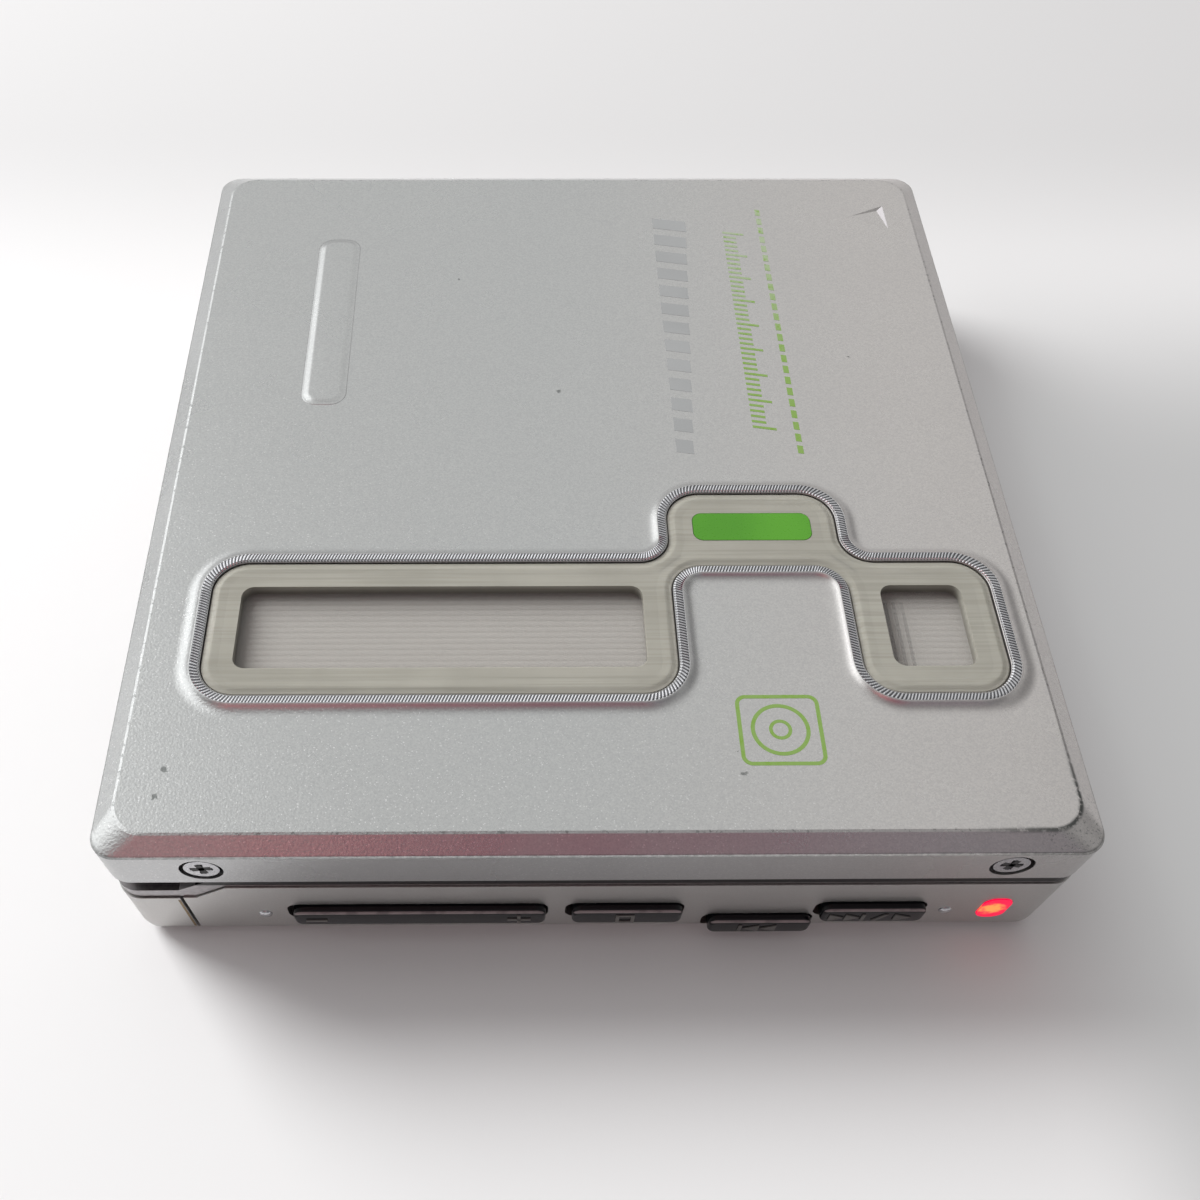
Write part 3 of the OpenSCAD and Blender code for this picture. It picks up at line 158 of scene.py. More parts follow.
lidPaint = {
    "pale": rgb(221, 222, 221), "dark": rgb(208, 209, 209), "flake": 0.12 * mm,
    # warm: painted warm light, a warmer and paler tint towards the right
    "warm": (1.09, 1.03, 1.01, 1), "warmX": (-5 * mm, 38 * mm),
    "rough": (0.26, 0.32), "cloud": 12 * mm,
    # side: painted shade, a darker tone on the side below the bevel
    "side": rgb(150, 150, 152), "sideShadePart": 0.45, "sideShadeFall": (0.2 * mm, 0.05 * mm),
    # painted glints: white flakes that stand in for glitter, which of the cells shine, how much, and their
    # fade along x + y
    "paintedGlintWhite": rgb(255, 255, 255), "paintedGlint": 0.09 * mm, "paintedGlintFrom": (0.975, 0.98), "paintedGlintPart": 0.8,
    "paintedGlintFade": (15 * mm, -60 * mm),
    # blasted grain, stronger along x + y towards the front left
    "grain": 0.23 * mm, "depth": 0.03 * mm, "bump": (0.10, 0.75), "bumpFade": (-5 * mm, -75 * mm),
}

lidScuffs = {
    "colour": rgb(70, 76, 74), "part": 0.85, "crumb": 0.5 * mm,
    # front right corner: how far in it lies from both sides, and how far its wear reaches
    "cornerIn": 2.4 * mm, "cornerReach": (1.0 * mm, 10.0 * mm),
    "line": (0.04 * mm, 0.34 * mm), "lineCrumb": (0.34, 0.52),
    "speck": (0.06 * mm, 0.2 * mm), "speckCrumb": (0.56, 0.62), "speckPart": 0.5,
    "chip": 0.22 * mm, "chipFrom": (0.55, 0.62), "chipPart": 0.55, "chipReach": (1.5 * mm, 4.5 * mm),
    "chipFall": (0.1 * mm, 0.2 * mm),
    "rim": (0.08 * mm, 0.16 * mm), "rimFall": 0.03 * mm, "rimCrumb": (0.35, 0.65), "rimPart": (0.3, 0.6),
    "rimCorner": 0.3,
    # small dings: x, y, radius, in millimetres from the middle of the lid
    "dings": [(-1.95, 7.0, 0.30), (-34.85, -35.6, 0.36), (-35.15, -38.1, 0.28), (11.75, -36.2, 0.26),
              (2.15, -26.9, 0.14), (11.35, -34.2, 0.14), (-12.25, 24.0, 0.12), (27.75, 12.0, 0.1)],
    "dingRagged": 0.2 * mm, "dingCore": 0.4, "dingPart": 0.7,
}


def lidWear(tree, place):
    p = lidScuffs
    x, y, z = axes(tree, place)
    crumb = noise(tree, place, p["crumb"], 5.0, 0.65)
    # distance from the rounded outline of the flat, inside the bevel
    inside = lidEdge["bevel"] + lidEdge["radius"]
    sideX = maths(tree, "SUBTRACT", maths(tree, "ABSOLUTE", x), lidHigh.x - inside)
    sideY = maths(tree, "SUBTRACT", maths(tree, "ABSOLUTE", y), lidHigh.y - inside)
    over = add(tree, "CombineXYZ", {0: highest(tree, sideX, 0.0), 1: highest(tree, sideY, 0.0)}).outputs[0]
    reach = add(tree, "VectorMath", {0: over}, operation="LENGTH").outputs["Value"]
    fromEdge = maths(tree, "ABSOLUTE", maths(tree, "SUBTRACT", reach, lidEdge["radius"]))
    # a dark line round the front right corner of the flat, and specks along its whole edge
    corner = (lidHigh.x - p["cornerIn"], lidLow.y + p["cornerIn"], lidTop)
    away = distance(tree, place, corner)
    near = span(tree, away, *p["cornerReach"], 1.0, 0.0)
    line = product(tree, span(tree, fromEdge, *p["line"], 1.0, 0.0), near, span(tree, crumb, *p["lineCrumb"]))
    speck = product(tree, span(tree, fromEdge, *p["speck"], 1.0, 0.0),
                    span(tree, crumb, *p["speckCrumb"], 0.0, p["speckPart"]))
    # chips on the bevel at that corner
    chipTop, chipFull = p["chipFall"]
    chip = product(tree, span(tree, away, *p["chipReach"], 1.0, 0.0),
                   span(tree, z, lidTop - chipTop, lidTop - chipFull),
                   span(tree, noise(tree, place, p["chip"], 4.0, 0.7), *p["chipFrom"], 0.0, p["chipPart"]))
    # rubbed line where the bevel meets the side, darkest at the same corner
    fromRim = maths(tree, "ABSOLUTE", maths(tree, "SUBTRACT", z, lidRimZ - p["rimFall"]))
    worn = maths(tree, "ADD", span(tree, crumb, *p["rimCrumb"], *p["rimPart"]),
                 product(tree, near, p["rimCorner"]))
    edgeLine = product(tree, span(tree, fromRim, *p["rim"], 1.0, 0.0), worn)
    wear = highest(tree, line, speck, chip, edgeLine)
    ragged = span(tree, crumb, *noiseSpan, -p["dingRagged"], p["dingRagged"])
    for dx, dy, radius in p["dings"]:
        out = maths(tree, "ADD", distance(tree, place, (dx * mm, dy * mm, lidTop)), ragged)
        ding = span(tree, out, radius * p["dingCore"] * mm, radius * mm, p["dingPart"], 0.0)
        wear = highest(tree, wear, ding)
    return product(tree, wear, p["part"])


def lidSilver():
    p = lidPaint
    finish, tree, skin, place = startFinish("lidSilver", Metallic=0.95)
    x, y, z = axes(tree, place)
    diagonal = maths(tree, "ADD", x, y)
    colour = mixColour(tree, cells(tree, place, p["flake"]), p["dark"], p["pale"])
    # painted warm light: a little warmer and paler towards the right
    colour = mixColour(tree, span(tree, x, *p["warmX"]), colour, p["warm"], "MULTIPLY")
    # the blasted grain stands out more towards the front left, and more painted white glints show there
    paintedGlint = span(tree, cells(tree, place, p["paintedGlint"]), *p["paintedGlintFrom"], 0.0, p["paintedGlintPart"])
    colour = mixColour(tree, product(tree, paintedGlint, span(tree, diagonal, *p["paintedGlintFade"])), colour, p["paintedGlintWhite"])
    # painted shade: the side below the bevel is darker
    shadeFull, shadeTop = p["sideShadeFall"]
    sideShade = span(tree, z, lidRimZ - shadeFull, lidRimZ - shadeTop, p["sideShadePart"], 0.0)
    colour = mixColour(tree, sideShade, colour, p["side"])
    colour = mixColour(tree, lidWear(tree, place), colour, lidScuffs["colour"])
    put(tree, colour, skin.inputs["Base Color"])
    cloud = noise(tree, place, p["cloud"], 3.0)
    put(tree, span(tree, cloud, *noiseSpan, *p["rough"]), skin.inputs["Roughness"])
    strength = span(tree, diagonal, *p["bumpFade"], *p["bump"])
    grain(tree, skin, noise(tree, place, p["grain"], 1.0), strength, p["depth"])
    return finish


satin = {"cloud": 30, "cloudFrom": (0.45, 0.7), "cloudPart": 0.25, "smoother": 0.05, "rougher": 0.06,
         "depth": 0.2}


def satinMetal(name, pale, dark, rough, size, stretch=(1, 1, 1), bump=0.1, metal=0.9):
    # fine grain between a dark and a pale tone, with wide darker clouds; cloud and depth go with its size
    p = satin
    finish, tree, skin, place = startFinish(name, Metallic=metal)
    fine = noise(tree, stretched(tree, place, stretch), size, 3.0, 0.6)
    cloud = noise(tree, place, size * p["cloud"], 3.0)
    colour = mixColour(tree, span(tree, fine, *noiseSpan), dark, pale)
    colour = mixColour(tree, span(tree, cloud, *p["cloudFrom"], 0.0, p["cloudPart"]), colour, dark)
    put(tree, colour, skin.inputs["Base Color"])
    put(tree, span(tree, fine, *noiseSpan, rough - p["smoother"], rough + p["rougher"]),
        skin.inputs["Roughness"])
    grain(tree, skin, fine, bump, size * p["depth"])
    return finish


# black: painted shade on the top part of the strip, where the lid shades it
strip = {"pale": rgb(168, 164, 165), "dark": rgb(150, 147, 149), "size": 0.4 * mm, "bump": 0.06,
         "depth": 0.03 * mm, "black": grey(0.012), "shadeFrom": (0.22 * mm, 0.34 * mm)}


def stripSilver():
    # satin lower edge, top part painted black as painted shade under the lid
    p = strip
    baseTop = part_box("base_shell")[1].z
    finish, tree, skin, place = startFinish("stripSilver", Metallic=0.9, Roughness=0.3)
    fine = noise(tree, place, p["size"], 3.0)
    colour = mixColour(tree, span(tree, fine, *noiseSpan), p["pale"], p["dark"])
    start, full = p["shadeFrom"]
    upper = span(tree, axes(tree, place)["Z"], baseTop + start, baseTop + full)
    put(tree, mixColour(tree, upper, colour, p["black"]), skin.inputs["Base Color"])
    grain(tree, skin, fine, p["bump"], p["depth"])
    return finish


# painted light on the cut band: shade in the ridge roots, highlight on the crests
cutPaintedLight = {"rootShade": rgb(104, 104, 108), "crestHighlight": rgb(246, 246, 249), "step": (0.25, 0.75),
             "size": 0.25 * mm, "bump": 0.02, "depth": 0.02 * mm}


def cutMetal():
    # painted highlight on the crests and painted shade in the roots, by the ridge height that the band
    # carries
    p = cutPaintedLight
    finish, tree, skin, place = startFinish("cutMetal", Metallic=1.0, Roughness=0.17)
    ridge = add(tree, "Attribute", {}, attribute_name="ridge").outputs["Fac"]
    colour = mixColour(tree, span(tree, ridge, *p["step"]), p["rootShade"], p["crestHighlight"])
    put(tree, colour, skin.inputs["Base Color"])
    grain(tree, skin, noise(tree, place, p["size"]), p["bump"], p["depth"])
    return finish


moulded = {"cloud": 40, "cloudFrom": (0.35, 0.65), "smoother": 0.06, "rougher": 0.08, "depth": 0.15}


def mouldedPlastic(name, pale, dark, rough, size=0.25 * mm, bump=0.12, **sockets):
    # wide clouds between a dark and a pale tone over a fine grain; cloud and depth go with its size
    p = moulded
    finish, tree, skin, place = startFinish(name, **sockets)
    fine = noise(tree, place, size)
    cloud = noise(tree, place, size * p["cloud"], 3.0)
    put(tree, mixColour(tree, span(tree, cloud, *p["cloudFrom"]), dark, pale), skin.inputs["Base Color"])
    put(tree, span(tree, fine, *noiseSpan, rough - p["smoother"], rough + p["rougher"]),
        skin.inputs["Roughness"])
    grain(tree, skin, fine, bump, size * p["depth"])
    return finish


# the pale edge line on the keys is a painted highlight, not wear
keyPaint = {"black": rgb(19, 20, 23), "edgeLine": rgb(146, 132, 133), "up": (0.3, 0.55), "front": (-0.25, -0.5),
            "patch": 1.2 * mm, "patchFrom": (0.3, 0.6), "patchPart": (0.6, 1.0),
            "size": 0.4 * mm, "bump": 0.04, "depth": 0.02 * mm}


def keyBlack():
    # black, with a painted highlight: a pale line along the turned upper edge, where it faces up and forward
    p = keyPaint
    finish, tree, skin, place = startFinish("keyBlack", Roughness=0.2, Specular_IOR_Level=0.35)
    facing = axes(tree, add(tree, "NewGeometry", {}).outputs["Normal"])
    patch = noise(tree, place, p["patch"], 3.0)
    edgeLine = product(tree, span(tree, facing["Z"], *p["up"]), span(tree, facing["Y"], *p["front"]),
                     span(tree, patch, *p["patchFrom"], *p["patchPart"]))
    put(tree, mixColour(tree, edgeLine, p["black"], p["edgeLine"]), skin.inputs["Base Color"])
    grain(tree, skin, noise(tree, place, p["size"]), p["bump"], p["depth"])
    return finish


milky = {"pale": rgb(164, 162, 152), "dark": rgb(148, 146, 136), "scatter": (1.0, 0.95, 0.8),
         "cloud": 6 * mm, "cloudFrom": (0.35, 0.7), "cloudPart": 0.5,
         "line": 0.3 * mm, "along": 0.015, "lineFrom": (0.42, 0.66), "linePart": 0.75,
         # deep: painted shade down the walls of the openings
         "deep": rgb(112, 109, 102), "wallShadeFall": (0.9 * mm, 0.06 * mm), "wallShadePart": 0.85,
         "size": 0.5 * mm, "bump": 0.04, "depth": 0.03 * mm}


def bezelMilky():
    # faint uneven lines along X, seen through the milky plastic; painted shade makes it darker down the walls
    # of the openings
    p = milky
    finish, tree, skin, place = startFinish("bezelMilky", Roughness=0.2, Subsurface_Weight=0.2,
                                            Subsurface_Scale=0.4 * mm, IOR=1.49,
                                            Subsurface_Radius=p["scatter"])
    lines = noise(tree, stretched(tree, place, (p["along"], 1, 1)), p["line"])
    cloud = noise(tree, place, p["cloud"], 3.0)
    colour = mixColour(tree, span(tree, cloud, *p["cloudFrom"], 0.0, p["cloudPart"]), p["pale"], p["dark"])
    colour = mixColour(tree, span(tree, lines, *p["lineFrom"], 0.0, p["linePart"]), colour, p["dark"])
    deepFull, deepTop = p["wallShadeFall"]
    deep = span(tree, axes(tree, place)["Z"], bezelTop - deepFull, bezelTop - deepTop,
                p["wallShadePart"], 0.0)
    put(tree, mixColour(tree, deep, colour, p["deep"]), skin.inputs["Base Color"])
    grain(tree, skin, noise(tree, place, p["size"]), p["bump"], p["depth"])
    return finish


# painted highlight on the top of each rib
paneTint = {"hollow": rgb(184, 181, 175), "ribHighlight": rgb(197, 194, 189), "ribHighlightFall": (0.035 * mm, 0.005 * mm)}


def paneClear():
    # painted highlight: paler along the top of each rib
    p = paneTint
    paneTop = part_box("window_pane_long")[1].z
    finish, tree, skin, place = startFinish("paneClear", Alpha=0.36, IOR=1.49, Roughness=0.14)
    low, high = p["ribHighlightFall"]
    ribHighlight = span(tree, axes(tree, place)["Z"], paneTop - low, paneTop - high)
    put(tree, mixColour(tree, ribHighlight, p["hollow"], p["ribHighlight"]), skin.inputs["Base Color"])
    return finish


lampGlow = {"aside": 0.2 * mm, "fade": (0.5 * mm, 1.3 * mm), "size": 0.5 * mm, "ragged": 0.25 * mm,
            "light": ((1.0, 0.34, 0.08, 1), (1.0, 0.006, 0.075, 1)),
            "lens": (rgb(255, 130, 70), rgb(200, 6, 40))}


def lampRed():
    # orange middle, deep red rim
    p = lampGlow
    low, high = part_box("led_lens")
    finish, tree, skin, place = startFinish("lampRed", Roughness=0.3, Emission_Strength=0.85,
                                            Specular_IOR_Level=0.2)
    middle = ((low.x + high.x) / 2 - p["aside"], low.y, (low.z + high.z) / 2)
    ragged = span(tree, noise(tree, place, p["size"]), *noiseSpan, -p["ragged"], p["ragged"])
    glow = span(tree, maths(tree, "ADD", distance(tree, place, middle), ragged), *p["fade"])
    put(tree, mixColour(tree, glow, *p["light"]), skin.inputs["Emission Color"])
    put(tree, mixColour(tree, glow, *p["lens"]), skin.inputs["Base Color"])
    return finish


board = {"lanes": 160, "lane": 0.06, "laneEdge": 0.1, "green": (rgb(16, 66, 38), rgb(20, 78, 44)),
         "etched": rgb(38, 112, 62), "pad": 1.1 * mm, "padFrom": (0.86, 0.9), "gold": rgb(190, 160, 90),
         "bump": 0.15, "depth": 0.03 * mm}


def boardGreen():
    # etched lanes between rows of pads
    p = board
    finish, tree, skin, place = startFinish("boardGreen", Roughness=0.35, Specular_IOR_Level=0.5)
    lane = add(tree, "TexBrick", {"Vector": place, "Scale": p["lanes"], "Mortar Size": p["lane"],
                                  "Mortar Smooth": p["laneEdge"], "Color1": p["green"][0],
                                  "Color2": p["green"][1], "Mortar": p["etched"]}).outputs["Color"]
    pads = cells(tree, place, p["pad"])
    put(tree, mixColour(tree, span(tree, pads, *p["padFrom"]), lane, p["gold"]), skin.inputs["Base Color"])
    grain(tree, skin, pads, p["bump"], p["depth"])
    return finish


discTint = {"inner": rgb(150, 158, 186), "outer": rgb(176, 168, 190), "reach": (8 * mm, 31 * mm),
            "turn": 0.25 * mm, "rough": (0.16, 0.24), "bump": 0.08, "depth": 0.01 * mm}


def discCoat():
    # fine turns round the hub, lacquer over a metal layer
    p = discTint
    low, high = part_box("disc")
    finish, tree, skin, place = startFinish("discCoat", Metallic=0.85, Coat_Weight=0.6)
    away = distance(tree, place, (low + high) / 2)
    turns = maths(tree, "SINE", product(tree, away, 2 * np.pi / p["turn"]))
    colour = mixColour(tree, span(tree, away, *p["reach"]), p["inner"], p["outer"])
    put(tree, colour, skin.inputs["Base Color"])
    put(tree, span(tree, turns, -1.0, 1.0, *p["rough"]), skin.inputs["Roughness"])
    grain(tree, skin, turns, p["bump"], p["depth"])
    return finish


paper = {"tones": (rgb(190, 188, 183), rgb(196, 194, 189)), "fibre": 0.3 * mm, "bump": 0.1,
         "depth": 0.02 * mm}


def labelPaper():
    p = paper
    finish, tree, skin, place = startFinish("labelPaper", Roughness=0.6)
    fibre = noise(tree, place, p["fibre"], 4.0, 0.6)
    put(tree, mixColour(tree, span(tree, fibre, *noiseSpan), *p["tones"]), skin.inputs["Base Color"])
    grain(tree, skin, fibre, p["bump"], p["depth"])
    return finish


sleeve = {"tones": (rgb(92, 104, 116), rgb(110, 120, 130)), "size": 0.6 * mm, "bump": 0.06,
          "depth": 0.05 * mm, "band": rgb(200, 204, 206), "bandAt": (24 * mm, 27 * mm),
          "bandEdge": 0.2 * mm}


def cellWrap():
    # plain sleeve with two pale bands near its ends
    p = sleeve
    low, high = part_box("battery")
    finish, tree, skin, place = startFinish("cellWrap", Roughness=0.35, Metallic=0.3)
    fine = noise(tree, place, p["size"], 3.0)
    out = maths(tree, "ABSOLUTE", maths(tree, "SUBTRACT", axes(tree, place)["X"], (low.x + high.x) / 2))
    inner, outer = p["bandAt"]
    band = product(tree, span(tree, out, inner, inner + p["bandEdge"]),
                   span(tree, out, outer, outer + p["bandEdge"], 1.0, 0.0))
    colour = mixColour(tree, span(tree, fine, *noiseSpan), *p["tones"])
    put(tree, mixColour(tree, band, colour, p["band"]), skin.inputs["Base Color"])
    grain(tree, skin, fine, p["bump"], p["depth"])
    return finish


wornInk = {"fresh": rgb(118, 156, 56), "thin": rgb(160, 174, 144), "size": 0.6 * mm, "wornFrom": (0.3, 0.52),
           "y": (8 * mm, 34 * mm), "part": (0.2, 1.0), "bump": 0.08, "depth": 0.02 * mm}


def greenInk():
    # printed green that has worn thin towards the back edge
    p = wornInk
    finish, tree, skin, place = startFinish("greenInk", Roughness=0.45)
    worn = noise(tree, place, p["size"], 5.0, 0.7)
    thin = product(tree, span(tree, axes(tree, place)["Y"], *p["y"], *p["part"]),
                   span(tree, worn, *p["wornFrom"]))
    put(tree, mixColour(tree, thin, p["fresh"], p["thin"]), skin.inputs["Base Color"])
    grain(tree, skin, worn, p["bump"], p["depth"])
    return finish


lensTint = {"tones": (rgb(60, 74, 140), rgb(96, 70, 150)), "size": 1.5 * mm}


def lensGlass():
    p = lensTint
    finish, tree, skin, place = startFinish("lensGlass", Roughness=0.04, IOR=1.52, Coat_Weight=1.0,
                                            Metallic=0.2)
    patch = noise(tree, place, p["size"], 1.0)
    put(tree, mixColour(tree, span(tree, patch, *noiseSpan), *p["tones"]), skin.inputs["Base Color"])
    return finish


finishes = {
    "lid_silver": lidSilver(),
    "body_silver": satinMetal("bodySilver", rgb(198, 196, 194), rgb(188, 186, 184), 0.38, 0.2 * mm,
                              bump=0.12),
    "strip_silver": stripSilver(),
    "bezel_milky": bezelMilky(),
    "pane_clear": paneClear(),
    "green_plastic": mouldedPlastic("greenPlastic", rgb(84, 154, 38), rgb(74, 142, 33), 0.32),
    "black_plastic": mouldedPlastic("blackPlastic", rgb(40, 40, 42), rgb(28, 28, 30), 0.45),
    "button_black": keyBlack(),
    # key marks: the keys' own plastic, painted lighter as a painted highlight on the raised marks
    "key_mark": mouldedPlastic("keyMark", rgb(104, 100, 97), rgb(90, 87, 85), 0.4),
    # pale skin on one wall of the lid arrow, a painted highlight
    "arrow_bright": mouldedPlastic("arrowPaintedHighlight", rgb(204, 201, 203), rgb(176, 173, 176), 0.2,
                                   Coat_Weight=0.6),
    "sheet_steel": satinMetal("sheetSteel", rgb(196, 198, 202), rgb(168, 170, 176), 0.30, 0.3 * mm,
                              stretch=(0.08, 1, 1)),
    "pin_steel": satinMetal("pinSteel", rgb(208, 208, 210), rgb(176, 176, 180), 0.22, 0.2 * mm),
    "cartridge_grey": mouldedPlastic("cartridgeGrey", rgb(190, 187, 181), rgb(184, 181, 175), 0.38),
    "label_paper": labelPaper(),
    "disc_coat": discCoat(),
    "board_green": boardGreen(),
    "chip_black": mouldedPlastic("chipBlack", rgb(34, 34, 36), rgb(24, 24, 26), 0.5, 0.1 * mm),
    "cell_wrap": cellWrap(),
    "contact_brass": satinMetal("contactBrass", rgb(212, 172, 92), rgb(178, 138, 64), 0.28, 0.25 * mm),
    "white_plastic": mouldedPlastic("whitePlastic", rgb(226, 224, 216), rgb(210, 208, 200), 0.4),
    "lamp_red": lampRed(),
    "lens_glass": lensGlass(),
    "plate_grey": satinMetal("plateGrey", rgb(186, 186, 186), rgb(168, 168, 170), 0.45, 0.2 * mm, metal=0.5),
    "green_ink": greenInk(),
    "pale_ink": mouldedPlastic("paleInk", rgb(159, 161, 161), rgb(153, 155, 155), 0.45),
    # dark print, and painted shade in the cross recesses of the lid screws
    "dark_ink": mouldedPlastic("darkInkAndShade", rgb(46, 44, 46), rgb(34, 33, 35), 0.55),
    "cut_metal": cutMetal(),
    "edge_bronze": satinMetal("edgeBronze", rgb(150, 128, 92), rgb(112, 94, 66), 0.35, 0.25 * mm),
    "groove_dark": mouldedPlastic("grooveDark", rgb(74, 71, 67), rgb(58, 55, 52), 0.5),
}
recordSlots = {n: m["slot"] for m in frame["record"]["materials"] for n in m.get("nodes", [])}
for name, cadNode in nodes.items():
    slotName = recordSlots.get(name)
    if slotName is None:
        slotName = cadNode.material_slots[0].material.name.split(".")[0]
    cadNode.data.materials.clear()
    cadNode.data.materials.append(finishes[slotName])
print("finishes on the CAD nodes")


# Mesh building blocks

def makePiece(name, points, faces, finish, body, smooth=True):
    mesh = bpy.data.meshes.new(name)
    mesh.from_pydata(points.reshape(-1, 3).tolist(), [], faces)
    work = bmesh.new()
    work.from_mesh(mesh)
    bmesh.ops.recalc_face_normals(work, faces=work.faces)
    work.to_mesh(mesh)
    work.free()
    mesh.polygons.foreach_set("use_smooth", np.full(len(mesh.polygons), smooth))
    mesh.materials.append(finishes[finish])
    piece = bpy.data.objects.new(name, mesh)
    scene.collection.objects.link(piece)
    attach(piece, body)
    return piece


def gridFaces(rows, cols, wrapRows=False, wrapCols=False):
    # quads between neighbours of a rows by cols grid of points
    index = np.arange(rows * cols).reshape(rows, cols)
    if wrapRows:
        index = np.vstack([index, index[:1]])
    if wrapCols:
        index = np.hstack([index, index[:, :1]])
    quads = np.stack([index[:-1, :-1], index[1:, :-1], index[1:, 1:], index[:-1, 1:]], -1)
    return quads.reshape(-1, 4).tolist()


def prismFaces(shapes, count):
    # each shape has count points below and the same above: two caps and a wall of quads
    index = np.arange(shapes * 2 * count).reshape(shapes, 2, count)
    ahead = np.roll(index, -1, axis=2)
    walls = np.stack([index[:, 0], ahead[:, 0], ahead[:, 1], index[:, 1]], -1).reshape(-1, 4)
    return index[:, 1].tolist() + index[:, 0, ::-1].tolist() + walls.tolist()


def prismPoints(outlines, low, high):
    # outlines: shapes by points by (x, y), carried from height low to height high
    shapes, count = outlines.shape[:2]
    points = np.empty((shapes, 2, count, 3))
    points[..., :2] = outlines[:, None]
    points[:, 0, :, 2] = low
    points[:, 1, :, 2] = high
    return points


arcSteps = 25                    # points on each rounded corner before they are spread evenly


def roundedLoop(corners, radii, count):
    # each corner becomes an arc tangent to both sides; count points lie evenly along the whole loop
    # returns the points and the outward direction at each
    corners = np.asarray(corners, float)
    marks, outs = [], []
    for here, before, after, radius in zip(corners, np.roll(corners, 1, 0), np.roll(corners, -1, 0), radii):
        a = (before - here) / np.linalg.norm(before - here)
        b = (after - here) / np.linalg.norm(after - here)
        half = np.arccos(a @ b) / 2
        centre = here + (a + b) / np.linalg.norm(a + b) * radius / np.sin(half)
        start = here + a * radius / np.tan(half) - centre
        end = here + b * radius / np.tan(half) - centre
        first = np.arctan2(start[1], start[0])
        turn = (np.arctan2(end[1], end[0]) - first + np.pi) % (2 * np.pi) - np.pi
        angle = first + turn * np.linspace(0, 1, arcSteps)
        ray = np.stack([np.cos(angle), np.sin(angle)], -1)
        marks.append(centre + radius * ray)
        outs.append(ray * np.sign(turn))
    marks = np.vstack(marks + [marks[0][:1]])
    outs = np.vstack(outs + [outs[0][:1]])
    far = np.concatenate([[0], np.cumsum(np.linalg.norm(np.diff(marks, axis=0), axis=1))])
    at = np.linspace(0, far[-1], count, endpoint=False)
    even = np.stack([np.interp(at, far, marks[:, k]) for k in (0, 1)], -1)
    out = np.stack([np.interp(at, far, outs[:, k]) for k in (0, 1)], -1)
    return even, out / np.linalg.norm(out, axis=1, keepdims=True)


def box2d(x0, x1, y0, y1):
    return [(x0, y0), (x1, y0), (x1, y1), (x0, y1)]


def tubeFaces(rings, count):
    # rings of count points each, joined into a tube with both ends closed
    last = (rings - 1) * count
    ends = [list(range(count)), list(range(last, last + count))]
    return gridFaces(rings, count, False, True) + ends


def closedRing(loop, out, u, z, floorZ):
    # a strip round a loop: row by row at distance u out and height z, its edges carried down to floorZ
    points = np.empty((len(loop), len(u) + 2, 3))
    points[:, 1:-1, :2] = loop[:, None] + out[:, None] * u[None, :, None]
    points[:, 1:-1, 2] = z
    points[:, 0] = points[:, 1]
    points[:, -1] = points[:, -2]
    points[:, [0, -1], 2] = floorZ
    return points, gridFaces(len(loop), len(u) + 2, True, True)


# Cut band round the window: a flat ring on the lip with fine slanting ridges

window = {
    "left": 6.8 * mm, "right": 4.4 * mm, "front": 14.2 * mm, "depth": 14 * mm, "shortWidth": 12.6 * mm,
    "bridgeWidth": 15.6 * mm, "bridgeDepth": 8.1 * mm, "bridgeLap": 0.5 * mm,
    "outRadius": 3.2 * mm, "inRadius": 2.8 * mm,
}
winX0 = lidLow.x + window["left"]
winX3 = lidHigh.x - window["right"]
winX2 = winX3 - window["shortWidth"]
winX1 = winX2 - window["bridgeWidth"]
winY0 = lidLow.y + window["front"]
winY1 = winY0 + window["depth"]
winY2 = winY1 + window["bridgeDepth"]
lapY = winY1 - window["bridgeLap"]
windowCorners = [(winX0, winY0), (winX1, winY0), (winX1, lapY), (winX2, lapY),
                 (winX2, winY0), (winX3, winY0), (winX3, winY1), (winX2, winY1),
                 (winX2, winY2), (winX1, winY2), (winX1, winY1), (winX0, winY1)]
inward = np.array([0, 0, 1, 1, 0, 0, 0, 1, 0, 0, 1, 0], bool)          # corners that turn inwards
windowRadii = np.where(inward, window["inRadius"], window["outRadius"])

knurl = {"ridges": 700, "perRidge": 8, "from": 0.04 * mm, "to": 0.84 * mm, "height": 0.06 * mm,
         "clear": 0.008 * mm, "slant": 1.1, "sink": 0.25 * mm, "across": 6}
# lip of the lid: distance out from the window edge, and fall below its top
lipOut = np.array([0, 0.14, 0.72, 0.95, 1.25, 1.8]) * mm
lipFall = np.array([0.17, 0.03, 0, 0.054, 0.2475, 0.45]) * mm


def cutBand():
    # height = lip profile + ridge height times a triangle wave of (ridge count along the loop + slant across)
    p = knurl
    rows = p["ridges"] * p["perRidge"]
    loop, out = roundedLoop(windowCorners, windowRadii, rows)
    v = np.linspace(0, 1, p["across"])
    u = p["from"] + (p["to"] - p["from"]) * v
    phase = np.arange(rows)[:, None] / p["perRidge"] + p["slant"] * v[None]
    wave = np.abs((phase % 1) * 2 - 1)
    lip = lidHigh.z - np.interp(u, lipOut, lipFall)
    z = lip + p["clear"] + p["height"] * wave
    points, faces = closedRing(loop, out, u, z, lidHigh.z - p["sink"])
    band = makePiece("windowCutBand", points, faces, "cut_metal", "lid", smooth=False)
    ridge = np.zeros((rows, p["across"] + 2))
    ridge[:, 1:-1] = wave
    band.data.attributes.new("ridge", "FLOAT", "POINT").data.foreach_set("value", ridge.ravel())


groove = {"in": 0.11 * mm, "out": 0.03 * mm, "inFall": 0.12 * mm, "outFall": 0.16 * mm, "thick": 0.05 * mm,
          "around": 720}


